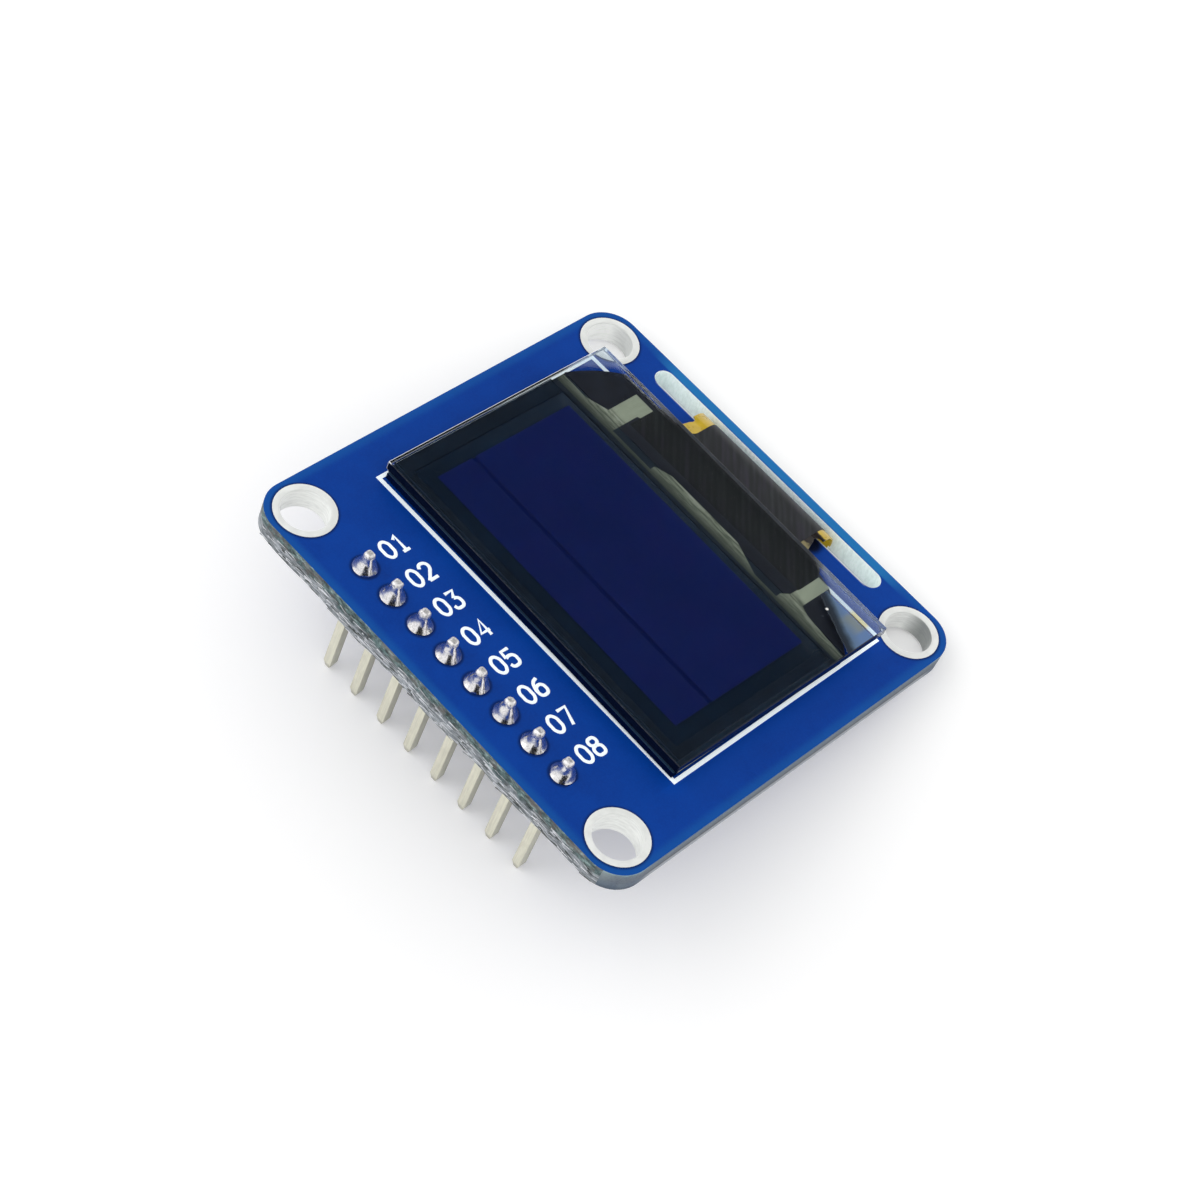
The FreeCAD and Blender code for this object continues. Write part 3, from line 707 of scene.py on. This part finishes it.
def scribed_finish(name):
    """The scribed edges of the glass: the left edge painted white as lit, the near and right edges
    painted dark as shade, with small painted glints; dark grey round the ledge, in the cover's
    tone, and clear at its two free ends, which show a pale line."""
    f = Finish(name)
    x, y, z = f.axes(f.on_panel())
    chips_and_glints = f.noise(7.0, 4, 0.7)
    left = x.spread(-GLASS_SIDE, 0.2 - GLASS_SIDE, 1, 0)
    # painted light: the left edge white as lit, and faint painted glints elsewhere off the ledge
    lit = left.at_least(chips_and_glints.spread(0.5, 0.72, 0.0, 0.07))
    clear = f.free_ends(x, y) * (1 - left)
    # painted shade: the near and right edges dark; round the ledge dark grey
    f.colour = f.mix(y.spread(LEDGE, LEDGE + 0.4), linear(18, 26, 40), linear(45, 47, 53))
    f.layer(lit * left.at_least(y.spread(LEDGE, LEDGE + 0.4, 1, 0)), linear(240, 243, 243))
    f.layer(clear, linear(214, 224, 246))
    f.drive("Transmission Weight", clear * chips_and_glints.spread(0.3, 0.6, 1, 0.9))
    return f.done((chips_and_glints, 0.2, 0.4), chips_and_glints, 0.002, 0.3, IOR=1.5, Specular_IOR_Level=0.25)


def side_finish(name, panel):
    """The broken sides of the glass: they show the dark seal behind them, are dark at the ledge with
    painted light grey at its far side, and are clear, a little milky, at its two free ends."""
    f = Finish(name)
    x, y, z = f.axes(f.on_panel())
    clear = f.free_ends(x, y)
    ground = f.noise(5.0, 3, 0.6, f.mapped((0.6, 0.6, 2)))
    f.shades(ground, (0.35, linear(4, 6, 12)), (0.7, linear(12, 18, 32)))
    f.layer(y.spread(LEDGE, LEDGE + 0.4), linear(27, 29, 33))
    # painted light: the far side at the ledge is painted light grey, as it sits in shade
    f.layer(y.spread(9.5, 9.6), linear(92, 96, 104))
    f.layer(clear, linear(190, 202, 236))
    f.drive("Transmission Weight", clear * (1 - panel.haze))
    return f.done((ground, 0.03, 0.12), ground, 0.003, 0.3, IOR=1.5, Specular_IOR_Level=0.2)


# Meshes

def new_piece(name, mesh, finishes, replaced=()):
    """A finished piece: its place is in its mesh, and it rides on the one body."""
    piece = bpy.data.objects.new(name, mesh)
    bpy.context.scene.collection.objects.link(piece)
    for finish in finishes:
        mesh.materials.append(finish)
    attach(piece, "root")
    if replaced:
        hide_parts(*replaced)
    return piece


def mesh_from(bm, name, angle=35.0):
    """The finished mesh of a bmesh, smooth except over edges sharper than the angle."""
    mesh = bpy.data.meshes.new(name)
    for face in bm.faces:
        face.smooth = True
    bm.to_mesh(mesh)
    bm.free()
    mesh.set_sharp_from_angle(angle=math.radians(angle))
    return mesh


def merged_copy(node):
    """A CAD node's triangles as one closed mesh with its flat faces whole again."""
    bm = bmesh.new()
    bm.from_mesh(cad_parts[node].data)
    bmesh.ops.remove_doubles(bm, verts=bm.verts, dist=1e-7)
    bmesh.ops.dissolve_limit(bm, angle_limit=math.radians(1), verts=bm.verts, edges=bm.edges,
                             delimit={"NORMAL"})
    bmesh.ops.recalc_face_normals(bm, faces=bm.faces)
    return bm


def bevelled(bm, edges, width, segments):
    bmesh.ops.bevel(bm, geom=edges, offset=width * MM, offset_type="OFFSET", affect="EDGES",
                    segments=segments, profile=0.5, material=-1, clamp_overlap=True)


def soften_edges(bm, width):
    """Rounds the edges of a mesh that are sharper than 40 degrees, by a width in mm."""
    bevelled(bm, [edge for edge in bm.edges if len(edge.link_faces) == 2
                  and edge.calc_face_angle(0) > math.radians(40)], width, 2)


def finished_copy(node, finishes, width=0.0, angle=35.0, pick=None):
    """The merged copy of a node with softened edges, in its place."""
    bm = merged_copy(node)
    if width:
        soften_edges(bm, width)
    if pick:
        for face in bm.faces:
            face.material_index = pick(face)
    mesh = mesh_from(bm, node + "_finished", angle)
    return new_piece(node + "_finished", mesh, finishes, (node,))


def beyond_middle(node, reach):
    """A pick of the second material for faces further than a reach from the node's middle along Y."""
    low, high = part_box(node)
    middle = (low.y + high.y) / 2
    return lambda face: int(abs(face.calc_center_median().y - middle) > reach)


def dress_node(node, *finishes):
    """Gives a CAD node its materials."""
    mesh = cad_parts[node].data
    mesh.materials.clear()
    for finish in finishes:
        mesh.materials.append(finish)
    return mesh


def pin_places():
    return [(FIRST_PIN_X + i * PITCH, ROW_Y) for i in range(PINS)]


# Digits as strokes in a box of 100 by 100. A stroke that ends where it starts is closed.
STROKES = {
    "0": [[(50, 100), (92, 82), (100, 50), (92, 18), (50, 0), (8, 18), (0, 50), (8, 82), (50, 100)]],
    "1": [[(15, 80), (50, 100), (50, 0)], [(12, 0), (88, 0)]],
    "2": [[(0, 78), (20, 96), (55, 100), (92, 86), (95, 62), (60, 36), (0, 0)], [(0, 0), (100, 0)]],
    "3": [[(4, 100), (95, 100), (50, 60)],
          [(50, 60), (86, 52), (100, 30), (86, 6), (50, 0), (14, 4), (0, 22)]],
    "4": [[(78, 0), (78, 100), (0, 30), (100, 30)]],
    "5": [[(92, 100), (10, 100), (6, 58)],
          [(6, 58), (50, 64), (90, 54), (100, 30), (86, 6), (50, 0), (14, 4), (0, 20)]],
    "6": [[(86, 96), (40, 86), (8, 55), (2, 28), (16, 5), (50, 0), (86, 6), (100, 30), (86, 54),
           (50, 60), (16, 50), (3, 30)]],
    "7": [[(0, 100), (100, 100), (38, 0)]],
    "8": [[(50, 55), (84, 64), (93, 80), (80, 96), (50, 100), (20, 96), (7, 80), (16, 64), (50, 55),
           (88, 46), (100, 26), (84, 4), (50, 0), (16, 4), (0, 26), (12, 46), (50, 55)]],
}
CORNERED = {"1", "4", "7"}


def digit_curve(digit, width, height, stroke):
    """A digit drawn with a round pen, as a curve from the origin."""
    curve = bpy.data.curves.new("digit", "CURVE")
    curve.dimensions = "3D"
    curve.bevel_depth = stroke / 2
    curve.bevel_resolution = 3
    curve.resolution_u = 6
    curve.use_fill_caps = True
    for points in STROKES[digit]:
        spline = curve.splines.new("BEZIER")
        closed = points[0] == points[-1]
        kept = points[:-1] if closed else points
        spline.bezier_points.add(len(kept) - 1)
        spline.use_cyclic_u = closed
        straight = digit in CORNERED or len(kept) <= 3
        for place, (x, y) in zip(spline.bezier_points, kept):
            place.co = (x / 100 * width, y / 100 * height, 0)
            place.handle_left_type = place.handle_right_type = "VECTOR" if straight else "AUTO"
    return curve


def digit_mesh(digit, width, height, stroke, place):
    """The digit as a low raised line of ink, set in its place."""
    curve = digit_curve(digit, width, height, stroke)
    holder = bpy.data.objects.new("digit", curve)
    mesh = bpy.data.meshes.new_from_object(holder)
    mesh.transform(place @ Matrix.Diagonal((1, 1, 0.3, 1)))
    bpy.data.objects.remove(holder)
    bpy.data.curves.remove(curve)
    return mesh


def spun_profile(points, steps, centre):
    """A closed shape of revolution about an upright axis through the centre."""
    bm = bmesh.new()
    corners = [bm.verts.new((centre[0] + r * MM, centre[1], z * MM)) for r, z in points]
    edges = [bm.edges.new(pair) for pair in zip(corners, corners[1:])]
    bmesh.ops.spin(bm, geom=corners + edges, cent=(centre[0], centre[1], 0), axis=(0, 0, 1),
                   dvec=(0, 0, 0), angle=math.tau, steps=steps, use_merge=True)
    bmesh.ops.remove_doubles(bm, verts=bm.verts, dist=1e-7)
    bmesh.ops.recalc_face_normals(bm, faces=bm.faces)
    return bm


def thinned_plate(node, slack, width):
    """The merged copy of an upright plate, thinner by a hair at both faces, with softened edges.
    The softened faces take the second material and the sides the third."""
    bm = merged_copy(node)
    low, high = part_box(node)
    for vert in bm.verts:
        vert.co.z += -slack if vert.co.z > (low.z + high.z) / 2 else slack
    soften_edges(bm, width)
    for face in bm.faces:
        x, y, z = (abs(part) > 0.999 for part in face.normal)
        face.material_index = 0 if z else 2 if x or y else 1
    return bm


def seeded(number):
    """Random draws that come out the same in every run. Noise vectors start from the clock unless they
    are seeded as well."""
    noise.seed_set(number)
    return random.Random(number)


def random_offset(draw):
    """Where in the noise a piece takes its bumps from, so that no two are alike."""
    return Vector((draw.random(), draw.random(), draw.random())) * 9


class ModuleOperator:
    bl_options = {"REGISTER", "UNDO"}


class DISPLAY_OT_board(ModuleOperator, bpy.types.Operator):
    """Gives the circuit board its mask, its torn and cut edges and its slot walls"""
    bl_idname = "display_module.board"
    bl_label = "Circuit Board"

    def execute(self, context):
        board = context.scene.display_board
        mesh = dress_node("circuit_board", mask_finish("Mask_Top", board, True),
                          mask_finish("Mask_Back", board, False), torn_edge_finish("Torn_Edge", board),
                          cut_edge_finish("Cut_Edge", board), slot_finish("Slot_Wall", board))
        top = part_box("printed_outline")[0].z - 0.05 * MM
        for face in mesh.polygons:
            x, y, z = face.center
            if face.normal.z > 0.9 and z > top:
                face.material_index = 0
            elif face.normal.z < -0.9 and y > (SNAPPED_SIDE - 0.3) * MM and z < 0.05 * MM:
                face.material_index = 1
            elif abs(face.normal.z) < 0.5 and abs(x) < SLOT_SPAN * MM and (
                    SLOT_NEAR - 0.1 < y / MM < SLOT_FAR + 0.1):
                face.material_index = 4
            else:
                broken = y < SNAPPED_SIDE * MM or max(x, y) < -14 * MM
                face.material_index = 2 if broken else 3
        self.strands(BVHTree.FromPolygons([v.co[:] for v in mesh.vertices],
                                          [face.vertices[:] for face in mesh.polygons]))
        return {"FINISHED"}

    def strands(self, surface):
        """Frayed glass fibres that stand out of the snapped edge, mostly along it."""
        finishes = [strand_finish("Strand_Pale", linear(238, 240, 246)),
                    strand_finish("Strand_Grey", linear(150, 156, 160)),
                    strand_finish("Strand_Dark", linear(62, 68, 64))]
        draw = seeded(5)
        bm = bmesh.new()
        for _ in range(STRANDS):
            x = draw.uniform(-14.6, 14.6)
            z = BOARD_TOP * draw.uniform(-0.02, 0.62)
            hit = surface.ray_cast(Vector((x, -20, max(z, 0.02))) * MM, Vector((0, 1, 0)))[0]
            if hit is None:
                continue
            length = draw.uniform(0.35, 1.1)
            turn = Matrix.Rotation(math.pi / 2 + draw.gauss(0, 0.1), 4, "Y") @ (
                Matrix.Rotation(draw.gauss(0, 0.06), 4, "X"))
            place = Matrix.Translation((x * MM, hit.y - draw.uniform(-0.01, 0.02) * MM, z * MM)) @ turn
            made = bmesh.ops.create_cone(bm, cap_ends=True, segments=5,
                                         radius1=draw.uniform(0.02, 0.04) * MM, radius2=0.008 * MM,
                                         depth=length * MM, matrix=place)
            tint = draw.choice((0, 0, 0, 1, 1, 2))
            for face in {face for vert in made["verts"] for face in vert.link_faces}:
                face.material_index = tint
        new_piece("torn_strands", mesh_from(bm, "torn_strands", 60), finishes)


class DISPLAY_OT_plating(ModuleOperator, bpy.types.Operator):
    """Makes the tinned rings and barrels of the mounting holes"""
    bl_idname = "display_module.plating"
    bl_label = "Hole Plating"

    def execute(self, context):
        tin = tin_finish("Tin_Ring", context.scene.display_board)
        for number in range(1, 5):
            finished_copy("hole_plating_%d" % number, [tin], 0.015)
        return {"FINISHED"}


class DISPLAY_OT_printing(ModuleOperator, bpy.types.Operator):
    """Prints the outline round the panel and a number beside each pin"""
    bl_idname = "display_module.printing"
    bl_label = "White Printing"

    def execute(self, context):
        settings = context.scene.display_print
        ink = ink_finish("White_Ink", settings.ink)
        self.outline(ink)
        width = settings.advance - 0.34 * MM
        for number, (x, y) in enumerate(pin_places(), 1):
            bm = bmesh.new()
            for i, digit in enumerate("%02d" % number):
                start = Vector(((x - 0.25) * MM + settings.height / 2,
                                (y + 1.76) * MM + i * settings.advance, BOARD_TOP * MM))
                place = Matrix.Translation(start) @ Matrix.Rotation(math.pi / 2, 4, "Z")
                part = digit_mesh(digit, width, settings.height, settings.stroke, place)
                bm.from_mesh(part)
                bpy.data.meshes.remove(part)
            name = "pin_number_%02d" % number
            new_piece(name, mesh_from(bm, name, 60), [ink])
        return {"FINISHED"}

    def outline(self, ink):
        """The outline, with its right leg a little further out, as it was printed."""
        bm = merged_copy("printed_outline")
        for vert in bm.verts:
            if vert.co.x > 12 * MM:
                vert.co.x += OUTLINE_SHIFT * MM
        mesh = mesh_from(bm, "outline_print", 30)
        new_piece("outline_print", mesh, [ink], ("printed_outline",))


class DISPLAY_OT_header(ModuleOperator, bpy.types.Operator):
    """Finishes the header's plastic body and its eight pins"""
    bl_idname = "display_module.header"
    bl_label = "Pin Header"

    def execute(self, context):
        header = context.scene.display_header
        body = plastic_finish("Header_Plastic", header.plastic, 0.45)
        finished_copy("header_body", [body], 0.06)
        metals = [pin_finish("Pin_Plating", header.pin), pin_top_finish("Pin_Top", header.solder)]
        draw = seeded(3)
        for number in range(1, PINS + 1):
            self.pin("header_pin_%d" % number, metals, draw)
        return {"FINISHED"}

    def pin(self, node, metals, draw):
        """One pin. Its end above the board was dipped in solder, so it is rounder and silver there."""
        low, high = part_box(node)
        level = (BOARD_TOP + 0.2) * MM
        bm = merged_copy(node)
        whole = bm.verts[:] + bm.edges[:] + bm.faces[:]
        bmesh.ops.bisect_plane(bm, geom=whole, plane_co=(0, 0, level), plane_no=(0, 0, 1), dist=1e-8,
                               clear_outer=True)
        bmesh.ops.holes_fill(bm, edges=[edge for edge in bm.edges if edge.is_boundary])
        soften_edges(bm, 0.03)
        shank = set(bm.faces)
        size = Vector((0.66 * MM, 0.66 * MM, high.z - level + 0.3 * MM))
        middle = Vector(((low.x + high.x) / 2, (low.y + high.y) / 2, high.z - size.z / 2))
        dip = bmesh.ops.create_cube(bm, size=1, matrix=Matrix.LocRotScale(middle, None, size))["verts"]
        bevelled(bm, list({edge for vert in dip for edge in vert.link_edges}), 0.22, 6)
        dipped = [face for face in bm.faces if face not in shank]
        for face in dipped:
            face.material_index = 1
        bumps = random_offset(draw)
        for vert in {vert for face in dipped for vert in face.verts}:
            vert.co += noise.noise_vector(vert.co / (0.4 * MM) + bumps) * 0.05 * MM
        mesh = mesh_from(bm, node + "_finished", 60)
        new_piece(node + "_finished", mesh, metals, (node,))


class DISPLAY_OT_solder(ModuleOperator, bpy.types.Operator):
    """Flows a bright solder joint round each pin, no two quite alike"""
    bl_idname = "display_module.solder"
    bl_label = "Solder Joints"

    def execute(self, context):
        header = context.scene.display_header
        finish = solder_finish("Solder_Bright", header.solder)
        draw = seeded(8)
        for number, (x, y) in enumerate(pin_places(), 1):
            foot, rise, neck = (v / MM for v in (header.foot, header.rise, header.neck))
            rise *= 1 - 0.06 * draw.random()
            fullness = 0.04 + 0.06 * draw.random()
            profile = [(0.46, 0.05), (foot - 0.02, BOARD_TOP - 0.01)]
            for step in range(13):
                t = step / 12
                r = neck + (foot - neck) * (1 - t) ** 2.2 + fullness * math.sin(math.pi * t)
                profile.append((r, BOARD_TOP + 0.05 + (rise - 0.05) * t))
            profile.append((0.02, BOARD_TOP + rise + 0.01))
            bm = spun_profile(profile, 48, (x * MM, y * MM))
            lean = Vector((draw.uniform(-0.06, 0.06), draw.uniform(-0.04, 0.06), 0)) * MM
            bumps = random_offset(draw)
            for vert in bm.verts:
                up = min(1.0, max(0.0, vert.co.z / MM - BOARD_TOP) / rise)
                vert.co += lean * up * (1 - up) * 2
                ripple = noise.noise_vector(vert.co / (0.5 * MM) + bumps)
                vert.co += Vector((ripple.x, ripple.y, ripple.z * up)) * 0.035 * MM * min(1.0, 6 * up)
            name = "solder_cone_%d" % number
            new_piece(name, mesh_from(bm, name, 50), [finish], ("solder_joint_%d" % number,))
        return {"FINISHED"}


class DISPLAY_OT_panel(ModuleOperator, bpy.types.Operator):
    """Finishes the panel's tape, lower glass, seal and pixels"""
    bl_idname = "display_module.panel"
    bl_label = "Panel Layers"

    def execute(self, context):
        panel = context.scene.display_panel
        dress_node("panel_tape", plastic_finish("Grey_Tape", linear(96, 96, 98), 0.75))
        plates = [lower_glass_finish("Lower_Glass", panel), lower_side_finish("Lower_Glass_Side")]
        finished_copy("cap_glass", plates, 0.04, pick=lambda face: int(face.normal.z < 0.9))
        dress_node("panel_seal", seal_finish("Seal_Glue", panel))
        dress_node("pixel_layer", pixel_finish("Light_Grid", panel))
        return {"FINISHED"}


class DISPLAY_OT_ledge(ModuleOperator, bpy.types.Operator):
    """Finishes the metal film, the driver chip and the coating under the ledge"""
    bl_idname = "display_module.ledge"
    bl_label = "Ledge"

    def execute(self, context):
        panel = context.scene.display_panel
        dress_node("trace_film", film_finish("Metal_Film", panel))
        dress_node("driver_chip", plastic_finish("Chip_Silicon", linear(34, 36, 44), 0.3, 0.002))
        dress_node("ledge_coating", coating_finish("Black_Coating", panel))
        return {"FINISHED"}


class DISPLAY_OT_glass(ModuleOperator, bpy.types.Operator):
    """Makes the clear front glass and the dark polarizer on it"""
    bl_idname = "display_module.glass"
    bl_label = "Front Glass"

    def execute(self, context):
        panel = context.scene.display_panel
        mesh = mesh_from(thinned_plate("front_glass", 0.006 * MM, 0.05), "front_glass_sheet", 10)
        finishes = [front_glass_finish("Clear_Glass", panel), scribed_finish("Scribed_Edge"),
                    side_finish("Glass_Side", panel)]
        glass = new_piece("front_glass_sheet", mesh, finishes, ("front_glass",))
        mesh = mesh_from(thinned_plate("polarizer", 0.002 * MM, 0.03), "polarizer_sheet", 10)
        rim = plastic_finish("Polarizer_Edge", linear(22, 34, 48), 0.6, 0.004, Specular_IOR_Level=0.1)
        finishes = [polarizer_finish("Polarizer_Film", panel.polarizer), rim, rim]
        film = new_piece("polarizer_sheet", mesh, finishes, ("polarizer",))
        glass.visible_shadow = film.visible_shadow = False
        return {"FINISHED"}


class DISPLAY_OT_cable(ModuleOperator, bpy.types.Operator):
    """Finishes the amber cable and its black cover"""
    bl_idname = "display_module.cable"
    bl_label = "Flat Cable"

    def execute(self, context):
        cable = context.scene.display_cable
        finished_copy("flex_cable", [amber_finish("Amber_Film", cable)], 0.01, 40)
        finished_copy("flex_cover", [cover_finish("Cover_Layer", cable)], 0.0, 40)
        return {"FINISHED"}


class DISPLAY_OT_back(ModuleOperator, bpy.types.Operator):
    """Finishes the solder contacts, capacitors, resistors and regulator on the back"""
    bl_idname = "display_module.back"
    bl_label = "Back Parts"

    def execute(self, context):
        back = context.scene.display_back
        solder = solder_finish("Solder_Back", context.scene.display_header.solder)
        dress_node("contact_solder", solder)
        tan = plastic_finish("Tan_Ceramic", back.tan, 0.5)
        black = plastic_finish("Black_Ceramic", back.black, 0.35)
        for stem, count, body, slot in (("capacitor", 5, tan, "tan_ceramic"),
                                        ("resistor", 6, black, "black_ceramic")):
            for number in range(1, count + 1):
                node = "%s_%d" % (stem, number)
                low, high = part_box(node)
                reach = (high.y - low.y) / 2 - 0.34 * MM
                finished_copy(node, [body, solder], 0.03, pick=beyond_middle(node, reach))
        epoxy = plastic_finish("Black_Epoxy", back.epoxy, 0.5)
        finished_copy("regulator", [epoxy, solder], 0.02,
                      pick=beyond_middle("regulator", 0.66 * MM))
        return {"FINISHED"}


# Stage

def seen_directly(nodes):
    """1 for a ray from the camera, in gloss or through glass, which is where the white background
    shows. A ray that has been scattered on the way carries light instead, and gives 0."""
    path = nodes.node("ShaderNodeLightPath").outputs
    seen = nodes.maths("MAXIMUM", path["Is Camera Ray"], path["Is Glossy Ray"])
    clean = nodes.maths("LESS_THAN", path["Diffuse Depth"], 0.5)
    return seen.at_least(path["Is Transmission Ray"]) * clean


def world_light(strength):
    """White where the background shows, and an even soft light otherwise."""
    world = bpy.data.worlds.new("Studio_Light")
    world.use_nodes = True
    nodes = Nodes(world.node_tree)
    soft = nodes.tree.nodes["Background"]
    white = nodes.node("ShaderNodeBackground")
    for light, power in ((soft, strength), (white, 1.0)):
        light.inputs["Color"].default_value = (1, 1, 1, 1)
        light.inputs["Strength"].default_value = power
    either = nodes.either(seen_directly(nodes), soft.outputs[0], white.outputs[0])
    nodes.link(either, nodes.tree.nodes["World Output"].inputs["Surface"])
    bpy.context.scene.world = world


def floor_material():
    """Pale floor that keeps the object's shadow, is white where it shows and clear from below."""
    material = new_material("Floor_Paper")
    nodes = Nodes(material.node_tree)
    paper = nodes.tree.nodes["Principled BSDF"]
    paper.inputs["Base Color"].default_value = (0.84, 0.84, 0.84, 1)
    paper.inputs["Roughness"].default_value = 0.9
    paper.inputs["Specular IOR Level"].default_value = 0.1
    glow = nodes.node("ShaderNodeEmission")
    nodes.link(seen_directly(nodes) * 0.22, glow.inputs["Strength"])
    both = nodes.node("ShaderNodeAddShader")
    nodes.link(paper.outputs[0], both.inputs[0])
    nodes.link(glow.outputs[0], both.inputs[1])
    below = nodes.node("ShaderNodeNewGeometry").outputs["Backfacing"]
    either = nodes.either(below, both.outputs[0], nodes.node("ShaderNodeBsdfTransparent").outputs[0])
    nodes.link(either, nodes.tree.nodes["Material Output"].inputs["Surface"])
    return material


def card_material(strength):
    """Black card that gloss shows, and that lets scattered light through."""
    material = new_material("Black_Card")
    nodes = Nodes(material.node_tree)
    glow = nodes.node("ShaderNodeEmission")
    glow.inputs["Strength"].default_value = strength
    clear = nodes.node("ShaderNodeBsdfTransparent")
    either = nodes.either(seen_directly(nodes), clear.outputs[0], glow.outputs[0])
    nodes.link(either, nodes.tree.nodes["Material Output"].inputs["Surface"])
    return material


def plane_object(name, size, place, material):
    """A square sheet of the stage with its place in its mesh."""
    bm = bmesh.new()
    bmesh.ops.create_grid(bm, x_segments=1, y_segments=1, size=size, matrix=place)
    mesh = bpy.data.meshes.new(name)
    bm.to_mesh(mesh)
    bm.free()
    mesh.materials.append(material)
    sheet = bpy.data.objects.new(name, mesh)
    bpy.context.scene.collection.objects.link(sheet)
    return sheet


def area_lamp(name, power, size, place):
    """A square lamp that points at the module."""
    data = bpy.data.lights.new(name, "AREA")
    data.shape = "SQUARE"
    data.size = size
    data.energy = power
    lamp = bpy.data.objects.new(name, data)
    lamp.location = place
    lamp.rotation_mode = "QUATERNION"
    lamp.rotation_quaternion = (-Vector(place)).to_track_quat("-Z", "Y")
    bpy.context.scene.collection.objects.link(lamp)


class DISPLAY_OT_stage(ModuleOperator, bpy.types.Operator):
    """Sets up the camera, the soft light and the pale floor that the module leans on"""
    bl_idname = "display_module.stage"
    bl_label = "Stage"

    def execute(self, context):
        stage = context.scene.display_stage
        context.scene.view_settings.view_transform = "Standard"
        self.camera(stage.focal)
        world_light(stage.sky)
        self.floor()
        black = card_material(stage.card)
        above = Matrix.Translation((-0.113, 0.24, 0.3))
        toward_camera = Matrix.Translation((0.25, -0.22, 0.13)) @ (
            Matrix.Rotation(math.radians(49), 4, "Z") @ Matrix.Rotation(math.radians(75), 4, "X"))
        for name, size, place in (("card_above", 0.17, above), ("card_at_camera", 0.16, toward_camera)):
            card = plane_object(name, size, place, black)
            card.visible_camera = card.visible_diffuse = card.visible_shadow = False
        area_lamp("key_lamp", stage.key, 0.35, (-0.26, -0.2, 0.24))
        area_lamp("back_lamp", stage.fill, 0.25, (0.12, 0.34, 0.2))
        return {"FINISHED"}

    def camera(self, focal):
        """The photograph's viewpoint."""
        data = bpy.data.cameras.new("photo_camera")
        data.lens = focal
        data.sensor_width = 36
        data.clip_start = 0.01
        data.clip_end = 10
        camera = bpy.data.objects.new("photo_camera", data)
        right = (0.6739424, 0.68230647, 0.28330112)
        up = (-0.68350985, 0.43031832, 0.58961041)
        back = (0.28038533, -0.59100256, 0.75637295)
        turn = Matrix((right, up, back)).transposed().to_4x4()
        camera.matrix_world = Matrix.Translation((0.05134068, -0.1082997, 0.13731022)) @ turn
        bpy.context.scene.collection.objects.link(camera)
        bpy.context.scene.camera = camera

    def floor(self):
        """The module stands on its pin tips and leans on the far edge of its board."""
        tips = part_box("header_pin_1")
        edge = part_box("circuit_board")
        toe = Vector((0, (tips[0].y + tips[1].y) / 2 + 0.17 * MM, tips[0].z - 0.01 * MM))
        rest = Vector((0, edge[1].y, -0.01 * MM))
        slope = math.atan2(rest.z - toe.z, rest.y - toe.y)
        place = Matrix.Translation(toe) @ Matrix.Rotation(slope, 4, "X")
        plane_object("floor", 1.5, place, floor_material())


OPERATORS = [DISPLAY_OT_board, DISPLAY_OT_plating, DISPLAY_OT_printing, DISPLAY_OT_header,
             DISPLAY_OT_solder, DISPLAY_OT_panel, DISPLAY_OT_ledge, DISPLAY_OT_glass, DISPLAY_OT_cable,
             DISPLAY_OT_back, DISPLAY_OT_stage]
SETTINGS = {"display_board": BoardSettings, "display_print": PrintSettings,
            "display_header": HeaderSettings, "display_panel": PanelSettings,
            "display_cable": CableSettings, "display_back": BackSettings,
            "display_stage": StageSettings}


class DISPLAY_PT_module(bpy.types.Panel):
    """Lists the module's pieces and their settings"""
    bl_idname = "DISPLAY_PT_module"
    bl_label = "Display Module"
    bl_space_type = "VIEW_3D"
    bl_region_type = "UI"
    bl_category = "Display Module"

    def draw(self, context):
        for operator in OPERATORS:
            self.layout.operator(operator.bl_idname)
        for key, group in SETTINGS.items():
            box = self.layout.box()
            settings = getattr(context.scene, key)
            for name in group.__annotations__:
                box.prop(settings, name)


CLASSES = [*SETTINGS.values(), *OPERATORS, DISPLAY_PT_module]


def register():
    for kind in CLASSES:
        bpy.utils.register_class(kind)
    for key, group in SETTINGS.items():
        setattr(bpy.types.Scene, key, bpy.props.PointerProperty(type=group))


def unregister():
    for key in SETTINGS:
        delattr(bpy.types.Scene, key)
    for kind in reversed(CLASSES):
        bpy.utils.unregister_class(kind)


def main():
    register()
    bpy.ops.display_module.board()
    bpy.ops.display_module.plating()
    bpy.ops.display_module.printing()
    bpy.ops.display_module.header()
    bpy.ops.display_module.solder()
    bpy.ops.display_module.panel()
    bpy.ops.display_module.ledge()
    bpy.ops.display_module.glass()
    bpy.ops.display_module.cable()
    bpy.ops.display_module.back()
    bpy.ops.display_module.stage()


if __name__ == "__main__":
    main()
